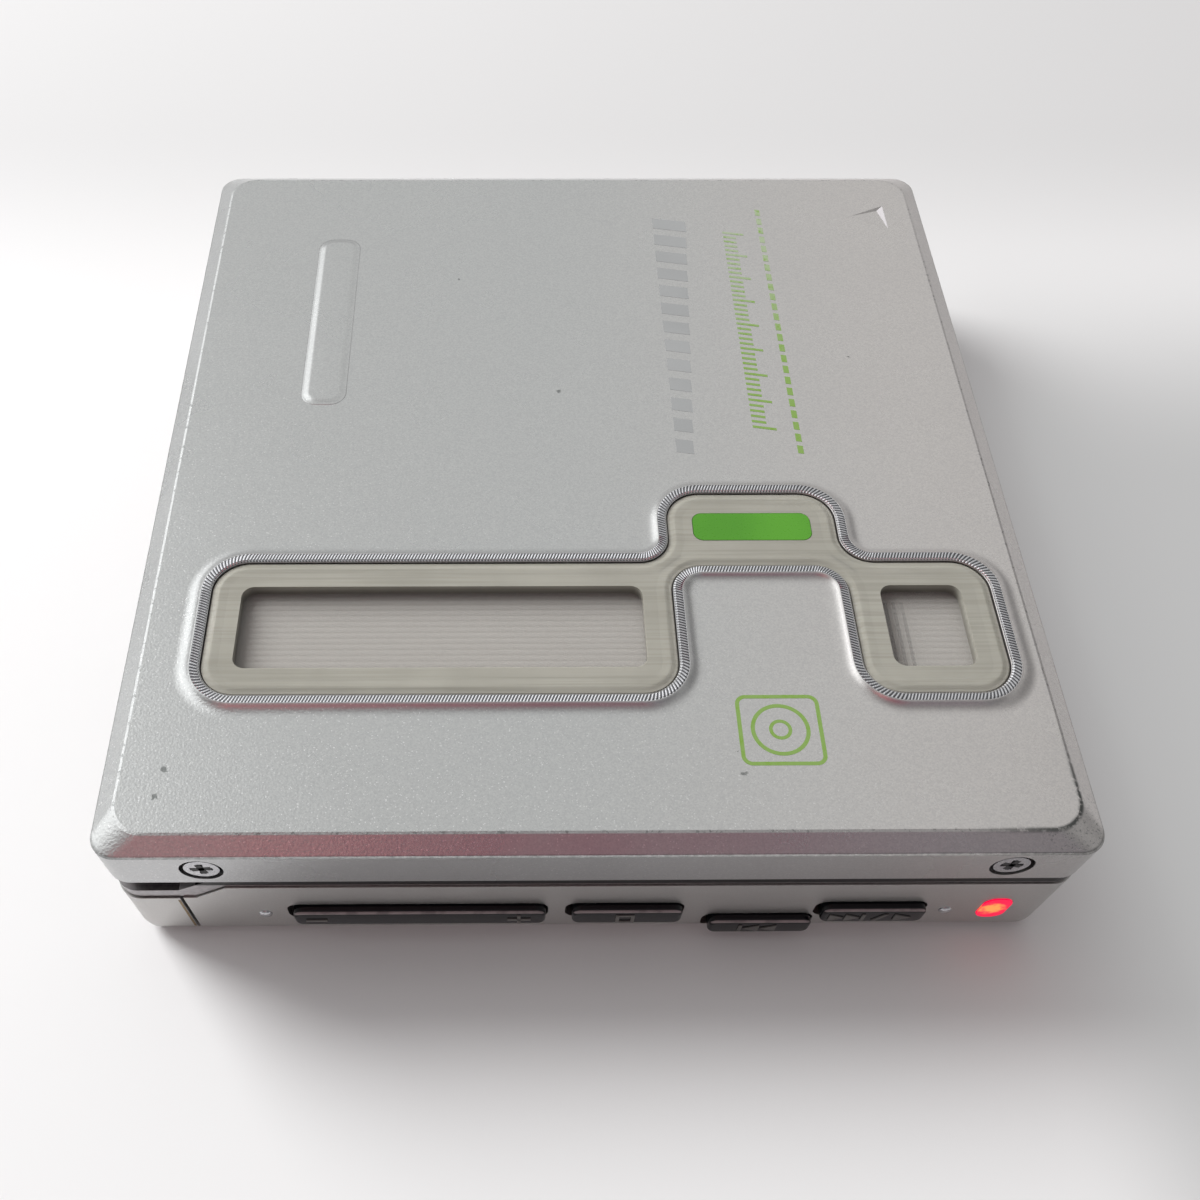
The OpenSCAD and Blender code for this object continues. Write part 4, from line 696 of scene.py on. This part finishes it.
def grooveRing():
    # dark joint round the inlay: a thin four cornered section carried round the window edge
    p = groove
    loop, out = roundedLoop(windowCorners, windowRadii, p["around"])
    u = np.array([-p["in"], -p["out"], -p["out"], -p["in"]])
    fall = np.array([p["inFall"], p["outFall"], p["outFall"] + p["thick"], p["inFall"] + p["thick"]])
    points = np.empty((p["around"], len(u), 3))
    points[:, :, :2] = loop[:, None] + out[:, None] * u[None, :, None]
    points[:, :, 2] = bezelTop - fall
    faces = gridFaces(p["around"], len(u), True, True)
    makePiece("windowGroove", points, faces, "groove_dark", "lid")


grooveRing()
cutBand()

hem = (0.002 * mm, -0.004 * mm)  # slope and bead start just above the surface and end just inside it

slope = {"from": 0.82 * mm, "to": 2.5 * mm, "height": 0.475 * mm, "tail": 2.6, "sink": 0.05 * mm,
         "steps": 22, "around": 900}


def lipSlope():
    # height above the lid = height * (1 - way out) to the power tail, closed underneath
    p = slope
    loop, out = roundedLoop(windowCorners, windowRadii, p["around"])
    t = np.linspace(0, 1, p["steps"])
    u = p["from"] + (p["to"] - p["from"]) * t
    rise = p["height"] * (1 - t) ** p["tail"] + np.interp(t, (0, 1), hem)
    points, faces = closedRing(loop, out, u, lidTop + rise, lidTop - p["sink"])
    makePiece("lipSlope", points, faces, "lid_silver", "lid")


lipSlope()

bead = {"from": -0.12 * mm, "to": -1.7 * mm, "height": 0.04 * mm, "skew": 0.75, "steps": 18, "around": 720,
        "edge": (-0.75 * mm, -0.35 * mm), "fall": 0.1 * mm, "sink": 0.2 * mm}


def inlayBead():
    # low swelling inside the edge of the inlay: height * squared sine of (way in to the power skew) * pi,
    # over the inlay's own rounded edge, closed underneath
    p = bead
    loop, out = roundedLoop(windowCorners, windowRadii, p["around"])
    t = np.linspace(0, 1, p["steps"])
    u = p["from"] + (p["to"] - p["from"]) * t
    rise = p["height"] * np.sin(np.pi * t ** p["skew"]) ** 2 - np.interp(u, p["edge"], (0, p["fall"]))
    z = bezelTop + rise + np.interp(t, (0, 1), hem)
    points, faces = closedRing(loop, out, u, z, bezelTop - p["sink"])
    makePiece("inlayBead", points, faces, "bezel_milky", "lid")


inlayBead()
print("cut band, slope and bead round the window")

# corners in millimetres from the back right corner of the lid
arrow = {"near": (-8.5, -8.3), "low": (-4.6, -10.55), "tip": (-4.6, -6.5), "floorTip": (-5.3, -7.15),
         "deep": 0.16, "lift": 0.003, "thick": 0.3, "skin": 0.006, "skinThick": 0.05}


def lidArrow():
    # shallow three cornered hollow: a sloping floor and two short walls that meet below the tip
    p = arrow
    corner = np.array([lidHigh.x, lidHigh.y]) / mm
    flat = np.array([p["near"], p["low"], p["tip"], p["floorTip"]]) + corner
    points = np.empty((2, 4, 3))
    points[:, :, :2] = flat
    points[0, :, 2] = lidTop / mm + p["lift"] - np.array([0, 0, 0, p["deep"]])
    points[1, :, 2] = lidTop / mm - p["thick"]
    faces = [(0, 1, 3), (0, 3, 2), (1, 2, 3), (4, 5, 6), (0, 1, 5, 4), (1, 2, 6, 5), (2, 0, 4, 6)]
    keep = points.reshape(-1, 3)[:7]
    makePiece("lidArrow", keep * mm, faces, "lid_silver", "lid", smooth=False)
    # painted highlight: a pale skin on the wall that runs from the tip to the front
    wall = np.stack([points[0, 1:], points[0, 1:] - np.array([0, 0, p["skinThick"]])])
    wall[0, :, 2] += p["skin"]
    sides = [(0, 1, 2), (5, 4, 3), (0, 3, 4, 1), (1, 4, 5, 2), (2, 5, 3, 0)]
    makePiece("lidArrowWall", wall * mm, sides, "arrow_bright", "lid", smooth=False)


lidArrow()

# Ribbed panes: ribs along X on the upper face of each pane

ribs = {"pitch": 0.6 * mm, "height": 0.035 * mm, "perRib": 10, "inset": 0.56 * mm}


def ribbedPane(name, node):
    # profile across Y: z = top - height * (1 - |cos|) between ribs, flat underneath, carried along X
    p = ribs
    low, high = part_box(node)
    y = np.linspace(low.y + p["inset"], high.y - p["inset"],
                    int((high.y - low.y) / p["pitch"] * p["perRib"]))
    z = high.z - p["height"] * (1 - np.abs(np.cos(np.pi * (y - low.y) / p["pitch"])))
    ring = np.stack([np.concatenate([y, y[::-1]]), np.concatenate([z, np.full(len(y), low.z)])], -1)
    points = np.empty((2, len(ring), 3))
    points[:, :, 1:] = ring
    points[:, :, 0] = np.array([[low.x + p["inset"]], [high.x - p["inset"]]])
    faces = tubeFaces(2, len(ring))
    piece = makePiece(name, points, faces, "pane_clear", "lid", smooth=False)
    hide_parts(node)


ribbedPane("ribbedPaneLong", "window_pane_long")
ribbedPane("ribbedPaneShort", "window_pane_short")
print("ribbed panes")

# Raised blank bar pressed out of the lid, and the printed marks

blankBar = {"x": (-27.65 * mm, -23.15 * mm), "y": (5.2 * mm, 30.6 * mm), "radius": 1.6 * mm,
            "height": 0.22 * mm, "edge": 0.9 * mm, "sink": 0.1 * mm, "steps": 9, "around": 160}


def pressedBar():
    # rings of a rounded rectangle drawn in step by step, height following half a cosine wave, with a flat top
    p = blankBar
    corners = box2d(*p["x"], *p["y"])
    loop, out = roundedLoop(corners, [p["radius"]] * 4, p["around"])
    t = np.linspace(0, 1, p["steps"])
    draw = -p["edge"] * t
    rise = p["height"] * (0.5 - 0.5 * np.cos(np.pi * t))
    points = np.empty((p["steps"] + 1, p["around"], 3))
    points[1:, :, :2] = loop[None] + out[None] * draw[:, None, None]
    points[1:, :, 2] = (lidTop + rise)[:, None]
    points[0] = points[1]
    points[0, :, 2] = lidTop - p["sink"]
    faces = tubeFaces(p["steps"] + 1, p["around"])
    makePiece("lidPressedBar", points, faces, "lid_silver", "lid")


pressedBar()

printed = {
    "thick": 0.012 * mm, "sink": 0.01 * mm, "lean": 0.18,
    "level": {"x": 9.15 * mm, "y": (-1.2 * mm, 35.4 * mm), "bars": 13, "fill": 0.62,
              "low": 1.0 * mm, "high": 3.7 * mm, "first": 0.25},
    "ticks": {"x": 16.85 * mm, "y": (2.0 * mm, 32.4 * mm), "bars": 41, "fill": 0.42,
              "low": 1.1 * mm, "high": 2.3 * mm, "every": 5, "short": 0.25},
    "dashes": {"x": 20.85 * mm, "y": (-1.4 * mm, 36.4 * mm), "bars": 24, "fill": 0.66,
               "low": 0.55 * mm, "high": 0.55 * mm},
}


def barRow(p, rise):
    # bars in a row along Y, each a leaning four sided outline that reaches from low to high by its rise
    edges = np.linspace(*p["y"], p["bars"] + 1)
    step = edges[1] - edges[0]
    y0 = edges[:-1]
    y1 = y0 + step * p["fill"]
    reach = p["low"] + (p["high"] - p["low"]) * rise
    lean = reach * printed["lean"]
    x0 = np.full_like(y0, p["x"])
    x1 = x0 + reach
    return np.stack([np.stack([x0, y0], -1), np.stack([x1, y0 - lean], -1),
                     np.stack([x1, y1 - lean], -1), np.stack([x0, y1], -1)], 1)


def lidPrint(name, outlines, finish):
    points = prismPoints(outlines, lidTop - printed["sink"], lidTop + printed["thick"])
    makePiece(name, points, prismFaces(*outlines.shape[:2]), finish, "lid", smooth=False)


level = printed["level"]
lidPrint("lidPrintLevel", barRow(level, np.linspace(level["first"], 1, level["bars"])), "pale_ink")
ticks = printed["ticks"]
longTick = np.arange(ticks["bars"]) % ticks["every"] == 0
lidPrint("lidPrintTicks", barRow(ticks, np.where(longTick, 1.0, ticks["short"])), "green_ink")
dashes = printed["dashes"]
lidPrint("lidPrintDashes", barRow(dashes, np.zeros(dashes["bars"])), "green_ink")

# rings: radius and width of line
discMark = {"x": (11.75 * mm, 18.75 * mm), "y": (-35.5 * mm, -28.8 * mm), "radius": 0.9 * mm,
            "line": 0.34 * mm, "rings": [(2.45 * mm, 0.34 * mm), (0.95 * mm, 0.3 * mm)],
            "around": 160, "ringAround": 96}


def inkLoop(name, loop, out, line):
    # a closed line of given width: inner and outer edge, above and below
    inner = loop - out * line
    points = np.empty((len(loop), 4, 3))
    points[:, [0, 1], :2] = loop[:, None]
    points[:, [2, 3], :2] = inner[:, None]
    points[:, [0, 3], 2] = lidTop - printed["sink"]
    points[:, [1, 2], 2] = lidTop + printed["thick"]
    faces = gridFaces(len(loop), 4, True, True)
    makePiece(name, points, faces, "green_ink", "lid", smooth=False)


def ringMark():
    # a rounded frame round two circles
    p = discMark
    loop, out = roundedLoop(box2d(*p["x"], *p["y"]), [p["radius"]] * 4, p["around"])
    inkLoop("lidMarkFrame", loop, out, p["line"])
    turn = np.linspace(0, 2 * np.pi, p["ringAround"], endpoint=False)
    ray = np.stack([np.cos(turn), np.sin(turn)], -1)
    middle = np.array([sum(p["x"]) / 2, sum(p["y"]) / 2])
    for k, (radius, line) in enumerate(p["rings"]):
        inkLoop(f"lidMarkRing{k}", middle + ray * radius, ray, line)


ringMark()
print("marks on the lid")

# Keys: rounded caps with raised marks, each in the place of its plain key, in millimetres
# bars: x and z from and to; slants: x from and to, lean, z from and to;
# wedges: x of tail and tip, z of the middle, half height

keys = {
    "volume_rocker": {"x": (-25.55, -4.0), "z": (3.65, 6.25),
                      "bars": [(-24.5, -22.7, 4.75, 5.05), (-7.3, -5.3, 4.75, 5.05),
                               (-6.45, -6.15, 4.1, 5.75)]},
    "stop_button": {"x": (-1.75, 7.7), "z": (3.65, 6.25),
                    "bars": [(2.0, 3.6, 5.4, 5.7), (2.0, 3.6, 4.1, 4.4),
                             (2.0, 2.3, 4.4, 5.4), (3.3, 3.6, 4.4, 5.4)]},
    "previous_button": {"x": (10.3, 19.25), "z": (1.3, 3.75), "bars": [(12.9, 13.2, 1.85, 3.15)],
                        "wedges": [(14.7, 13.3, 2.5, 0.65), (16.2, 14.8, 2.5, 0.65)]},
    "play_button": {"x": (19.7, 28.6), "z": (3.65, 6.25), "bars": [(23.1, 23.4, 4.3, 5.6)],
                    "slants": [(24.1, 24.45, 0.9, 4.3, 5.6)],
                    "wedges": [(20.3, 21.6, 4.95, 0.65), (21.7, 23.0, 4.95, 0.65),
                               (25.9, 27.4, 4.95, 0.65)]},
}
cap = {"radius": 0.75, "edge": 0.34, "proud": 0.8, "depth": 2.1, "mark": 0.1, "markSink": 0.05,
       "around": 144, "bend": 9}


def keyCap(node, p):
    # outline in X and Z carried along Y, its front edge turned over by a quarter circle onto a flat face
    loop, out = roundedLoop(box2d(*p["x"], *p["z"]), [cap["radius"]] * 4, cap["around"])
    face = lidLow.y / mm - cap["proud"]
    t = np.linspace(0, np.pi / 2, cap["bend"])
    draw = np.concatenate([[0], cap["edge"] * (1 - np.cos(t))])
    y = np.concatenate([[face + cap["depth"]], face + cap["edge"] * (1 - np.sin(t))])
    points = np.empty((len(draw), cap["around"], 3))
    points[:, :, [0, 2]] = loop[None] - out[None] * draw[:, None, None]
    points[:, :, 1] = y[:, None]
    name = node.title().replace("_", "")
    faces = tubeFaces(len(draw), cap["around"])
    piece = makePiece("cap" + name, points * mm, faces, "button_black", node)
    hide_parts(node)
    bars = [box2d(*bar) for bar in p["bars"]]
    for a, b, lean, z0, z1 in p.get("slants", []):
        bars.append([(a, z0), (b, z0), (b + lean, z1), (a + lean, z1)])
    marks = [np.array(bars)]
    if "wedges" in p:
        marks.append(np.array([[(tail, z - h), (tip, z), (tail, z + h)] for tail, tip, z, h in p["wedges"]]))
    for k, outlines in enumerate(marks):
        raised = prismPoints(outlines, face + cap["markSink"], face - cap["mark"])[..., [0, 2, 1]]
        faces = prismFaces(*outlines.shape[:2])
        makePiece(f"mark{name}{k}", raised * mm, faces, "key_mark", node, smooth=False)


for node, key in keys.items():
    keyCap(node, key)
print("keys")

# Bright domed ends of the two front pins

dome = {"x": (-28.1, 30.65), "z": 4.55, "radius": 0.58, "proud": 0.3, "sink": 0.1, "flat": 0.06,
        "around": 40, "rings": 8}


def pinDome(k, x):
    # rings shrinking on a quarter circle towards the front, down to a small flat
    p = dome
    turn = np.linspace(0, 2 * np.pi, p["around"], endpoint=False)
    t = np.linspace(0, (1 - p["flat"]) * np.pi / 2, p["rings"])
    reach = np.concatenate([[1], np.cos(t)]) * p["radius"]
    y = lidLow.y / mm - np.concatenate([[-p["sink"]], np.sin(t) * p["proud"]])
    points = np.empty((len(reach), p["around"], 3))
    points[:, :, 0] = x + reach[:, None] * np.cos(turn)
    points[:, :, 1] = y[:, None]
    points[:, :, 2] = p["z"] + reach[:, None] * np.sin(turn)
    faces = tubeFaces(len(reach), p["around"])
    makePiece(f"frontPinDome{k}", points * mm, faces, "pin_steel", "base")


for k, x in enumerate(dome["x"]):
    pinDome(k, x)

# Dark crosses in the lid screws, painted shade in their recesses, and a bronze edge on the battery door

cross = {"x": (-31.55, 33.05), "z": 13.8, "half": 0.82, "wide": 0.25, "tilt": (12, -18), "in": 0.115,
         "thick": 0.03}


def screwCross(k, x, side):
    # painted shade: two dark bars at right angles, turned by the tilt, in the head's own plane
    p = cross
    turn = np.radians(p["tilt"][k])
    bars = np.array([box2d(-p["half"], p["half"], -p["wide"], p["wide"]),
                     box2d(-p["wide"], p["wide"], -p["half"], p["half"])])
    spin = np.array([[np.cos(turn), -np.sin(turn)], [np.sin(turn), np.cos(turn)]])
    outlines = bars @ spin.T + np.array([x, p["z"]])
    y = side * (lidHigh.y / mm - p["in"])
    points = prismPoints(outlines, y, y + side * p["thick"])[..., [0, 2, 1]]
    name = f"screwCross{k}{'Back' if side > 0 else 'Front'}"
    makePiece(name, points * mm, prismFaces(2, 4), "dark_ink", "lid", smooth=False)


for k, x in enumerate(cross["x"]):
    screwCross(k, x, -1)
    screwCross(k, x, 1)

doorLow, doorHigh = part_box("battery_door")
doorEdge = {"wide": 0.2 * mm, "in": 0.05 * mm, "z": (1.7 * mm, 7.6 * mm), "proud": 0.02 * mm,
            "sink": 0.02 * mm}


def bronzeEdge():
    # a thin upright bar along the seam of the door
    p = doorEdge
    outlines = np.array([box2d(doorHigh.x - p["in"] - p["wide"], doorHigh.x - p["in"], *p["z"])])
    points = prismPoints(outlines, doorLow.y + p["sink"], doorLow.y - p["proud"])[..., [0, 2, 1]]
    makePiece("doorBronzeEdge", points, prismFaces(1, 4), "edge_bronze", "battery_door",
              smooth=False)


bronzeEdge()

# Plain sheets on the cartridge label under both windows, and ruled strokes under the short one

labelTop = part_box("cartridge_label")[1].z
labelSink = 0.01 * mm            # sheets and strokes start this far inside the label
sheets = {"y": (-27.6 * mm, -16.0 * mm), "longX": (-31.2 * mm, 6.4 * mm), "shortX": (24.2 * mm, 34.4 * mm),
          "thick": 0.006 * mm}


def labelSheets():
    # plain paper carried on under each window
    p = sheets
    outlines = np.array([box2d(*p["longX"], *p["y"]), box2d(*p["shortX"], *p["y"])])
    points = prismPoints(outlines, labelTop - labelSink, labelTop + p["thick"])
    makePiece("labelSheets", points, prismFaces(2, 4), "label_paper", "lid", smooth=False)


labelSheets()

strokes = {"x": (26.65 * mm, 28.85 * mm), "y": (-25.6 * mm, -17.9 * mm), "bars": 3, "fill": 0.4,
           "thick": 0.016 * mm}


def labelStrokes():
    # bars along Y, evenly spaced in X, each filling part of its step
    p = strokes
    edges = np.linspace(*p["x"], p["bars"] + 1)
    wide = (edges[1] - edges[0]) * p["fill"]
    outlines = np.array([box2d(x0, x0 + wide, *p["y"]) for x0 in edges[:-1]])
    points = prismPoints(outlines, labelTop - labelSink, labelTop + p["thick"])
    faces = prismFaces(p["bars"], 4)
    makePiece("labelStrokes", points, faces, "dark_ink", "lid", smooth=False)


labelStrokes()

# Plated collar round the headphone bore

collar = {"inner": 1.8 * mm, "outer": 2.45 * mm, "proud": 0.12 * mm, "sink": 0.02 * mm, "around": 72,
          "bend": 9}


def jackCollar():
    # half round profile carried round the bore axis
    p = collar
    low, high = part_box("headphone_jack")
    x = (low.x + high.x) / 2
    z = frame["record"]["mounts"][1]["pos_m"][2]              # the bore's own mount
    turn = np.linspace(0, 2 * np.pi, p["around"], endpoint=False)[:, None]
    bend = np.linspace(0, np.pi, p["bend"])[None]
    radius = (p["inner"] + p["outer"]) / 2 + (p["outer"] - p["inner"]) / 2 * np.cos(bend)
    points = np.empty((p["around"], p["bend"], 3))
    points[..., 0] = x + radius * np.cos(turn)
    points[..., 1] = high.y + p["proud"] * np.sin(bend) - p["sink"]
    points[..., 2] = z + radius * np.sin(turn)
    faces = gridFaces(p["around"], p["bend"], True, True)
    makePiece("jackCollar", points, faces, "pin_steel", "base")


jackCollar()
print("pins, crosses, label and collar")

# Floor, light and camera

stage = {
    "half": 3.0, "below": 0.02 * mm, "skipped": 0.1 * mm,
    "floor": grey(0.84), "back": grey(0.66), "backY": (0.03, 0.08),
    # painted shade: greyer paper on the right, with its real shade lifted: where it fades in and out, in
    # metres
    "right": grey(0.12), "lift": 0.40,
    "rightX": ((0.038, 0.058), (0.12, 0.3)), "rightY": ((-0.2, -0.09), (0.01, 0.055)),
    # what soft light brings back from the paper, in the middle and to both sides
    "bounce": grey(0.95), "bounceRight": grey(0.72), "bounceRightX": (-0.012, 0.02),
    "bounceLeft": grey(0.42), "bounceLeftX": (-0.038, -0.05),
}


def layFloor():
    # pale paper, a little greyer behind, with painted shade on the right and its real shade lifted there;
    # clear from underneath and right under the resting face, so that light reaches that face
    p = stage
    half = p["half"]
    corners = [(x, y, -p["below"]) for x, y in box2d(-half, half, -half, half)]
    mesh = bpy.data.meshes.new("floor")
    mesh.from_pydata(corners, [], [(0, 1, 2, 3)])
    finish, tree, skin, place = startFinish("floorPale", Roughness=0.9, Specular_IOR_Level=0.1,
                                            Emission_Color=grey(1.0))
    x, y = axes(tree, place)[:2]
    xIn, xOut = p["rightX"]
    yIn, yOut = p["rightY"]
    # where the painted shade on the right lies
    rightShade = product(tree, span(tree, x, *xIn), span(tree, x, *xOut, 1.0, 0.0),
                     span(tree, y, *yIn), span(tree, y, *yOut, 1.0, 0.0))
    colour = mixColour(tree, span(tree, y, *p["backY"]), p["floor"], p["back"])
    colour = mixColour(tree, rightShade, colour, p["right"])
    ray = tree.nodes.new("ShaderNodeLightPath").outputs
    shown = highest(tree, ray["Is Camera Ray"], ray["Is Glossy Ray"], ray["Is Transmission Ray"])
    bounce = mixColour(tree, span(tree, x, *p["bounceRightX"]), p["bounce"], p["bounceRight"])
    bounce = mixColour(tree, span(tree, x, *p["bounceLeftX"]), bounce, p["bounceLeft"])
    put(tree, mixColour(tree, shown, bounce, colour), skin.inputs["Base Color"])
    put(tree, product(tree, rightShade, p["lift"], shown), skin.inputs["Emission Strength"])
    under = add(tree, "NewGeometry", {}).outputs["Backfacing"]
    under = highest(tree, under, maths(tree, "LESS_THAN", ray["Ray Length"], p["skipped"]))
    clear = tree.nodes.new("ShaderNodeBsdfTransparent").outputs[0]
    sheet = add(tree, "MixShader", {0: under, 1: skin.outputs[0], 2: clear})
    put(tree, sheet.outputs[0], tree.nodes["Material Output"].inputs["Surface"])
    mesh.materials.append(finish)
    floor = bpy.data.objects.new("floor", mesh)
    scene.collection.objects.link(floor)


# colours of the room, and between which x, y or z of the way out from the object each fades in
room = {
    "horizon": grey(0.48), "horizonZ": (0.16, 0.42),
    "front": (0.17, 0.17, 0.172, 1), "frontLow": grey(0.36), "frontZ": (0.38, 0.62),
    "back": (0.615, 0.62, 0.615, 1), "backY": (-0.35, 0.25), "sidesY": (-0.2, 0.2),
    "left": (1.52, 1.54, 1.54, 1), "leftX": (-0.29, -0.56), "right": grey(0.21), "rightX": (0.42, 0.66),
    "warmLeft": (0.65, 0.25, 0.26, 1), "warmMid": (0.24, 0.08, 0.112, 1), "warmMidX": (-0.3, 0.0),
    "warmRight": (0.25, 0.25, 0.28, 1), "warmRightX": (0.12, 0.36),
    "warmZ": (0.68, 0.78), "warmTopZ": (0.92, 0.98), "warmSideX": (0.42, 0.7), "warmY": (-0.2, -0.42),
}


def lightRoom():
    # bright behind and to the left of the object, dim in front of it, with a warm patch high up in front
    p = room
    world = bpy.data.worlds.new("softRoom")
    scene.world = world
    world.use_nodes = True
    tree = world.node_tree
    way = tree.nodes.new("ShaderNodeTexCoord").outputs["Generated"]
    x, y, z = axes(tree, way)
    warm = mixColour(tree, span(tree, x, *p["warmMidX"]), p["warmLeft"], p["warmMid"])
    warm = mixColour(tree, span(tree, x, *p["warmRightX"]), warm, p["warmRight"])
    aside = maths(tree, "ABSOLUTE", x)
    patch = product(tree, span(tree, z, *p["warmZ"]), span(tree, z, *p["warmTopZ"], 1.0, 0.0),
                    span(tree, aside, *p["warmSideX"], 1.0, 0.0), span(tree, y, *p["warmY"]))
    colour = mixColour(tree, span(tree, z, *p["frontZ"]), p["frontLow"], p["front"])
    colour = mixColour(tree, patch, colour, warm)
    colour = mixColour(tree, span(tree, y, *p["backY"]), colour, p["back"])
    sides = span(tree, y, *p["sidesY"])
    colour = mixColour(tree, product(tree, sides, span(tree, x, *p["leftX"])), colour, p["left"])
    colour = mixColour(tree, product(tree, sides, span(tree, x, *p["rightX"])), colour, p["right"])
    colour = mixColour(tree, span(tree, z, *p["horizonZ"]), p["horizon"], colour)
    put(tree, colour, tree.nodes["Background"].inputs["Color"])


keyLamp = {"from": (-0.55, 0.39, 0.48), "size": 0.42, "power": 7.6}


def hangLamp():
    data = bpy.data.lights.new("keyLamp", "AREA")
    data.shape = "DISK"
    data.size = keyLamp["size"]
    data.energy = keyLamp["power"]
    lamp = bpy.data.objects.new("keyLamp", data)
    lamp.location = keyLamp["from"]
    lamp.visible_glossy = False      # the metal shows the room, not the lamp
    lamp.rotation_euler = (-Vector(keyLamp["from"])).to_track_quat("-Z", "Y").to_euler()
    scene.collection.objects.link(lamp)


# camera fitted to the object's corners: focal length and middle in picture points of a 1200 wide frame
shot = {"width": 1200, "focal": 1148.2, "middle": (519.4, 708.5), "sensor": 36, "nearest": 2 * mm,
        "pitch": 58.676, "roll": 0.611, "yaw": 0.977, "place": (-7.059 * mm, -79.578 * mm, 98.431 * mm)}


def setCamera():
    p = shot
    pitch, roll, yaw = np.radians([p["pitch"], p["roll"], p["yaw"]])
    ahead = np.array([np.sin(yaw) * np.cos(pitch), np.cos(yaw) * np.cos(pitch), -np.sin(pitch)])
    right = np.array([np.cos(yaw), -np.sin(yaw), 0])
    up = np.cross(right, ahead)
    rightRolled = np.cos(roll) * right + np.sin(roll) * up
    upRolled = -np.sin(roll) * right + np.cos(roll) * up
    data = bpy.data.cameras.new("shot")
    data.sensor_width = p["sensor"]
    data.lens = p["focal"] / p["width"] * p["sensor"]
    data.shift_x = 0.5 - p["middle"][0] / p["width"]
    data.shift_y = p["middle"][1] / p["width"] - 0.5
    data.clip_start = p["nearest"]
    camera = bpy.data.objects.new("shot", data)
    turned = Matrix(np.stack([rightRolled, upRolled, -ahead], 1).tolist())
    camera.matrix_world = Matrix.Translation(p["place"]) @ turned.to_4x4()
    scene.collection.objects.link(camera)
    scene.camera = camera


layFloor()
lightRoom()
hangLamp()
setCamera()
scene.view_settings.view_transform = "Standard"
print("floor, light and camera")
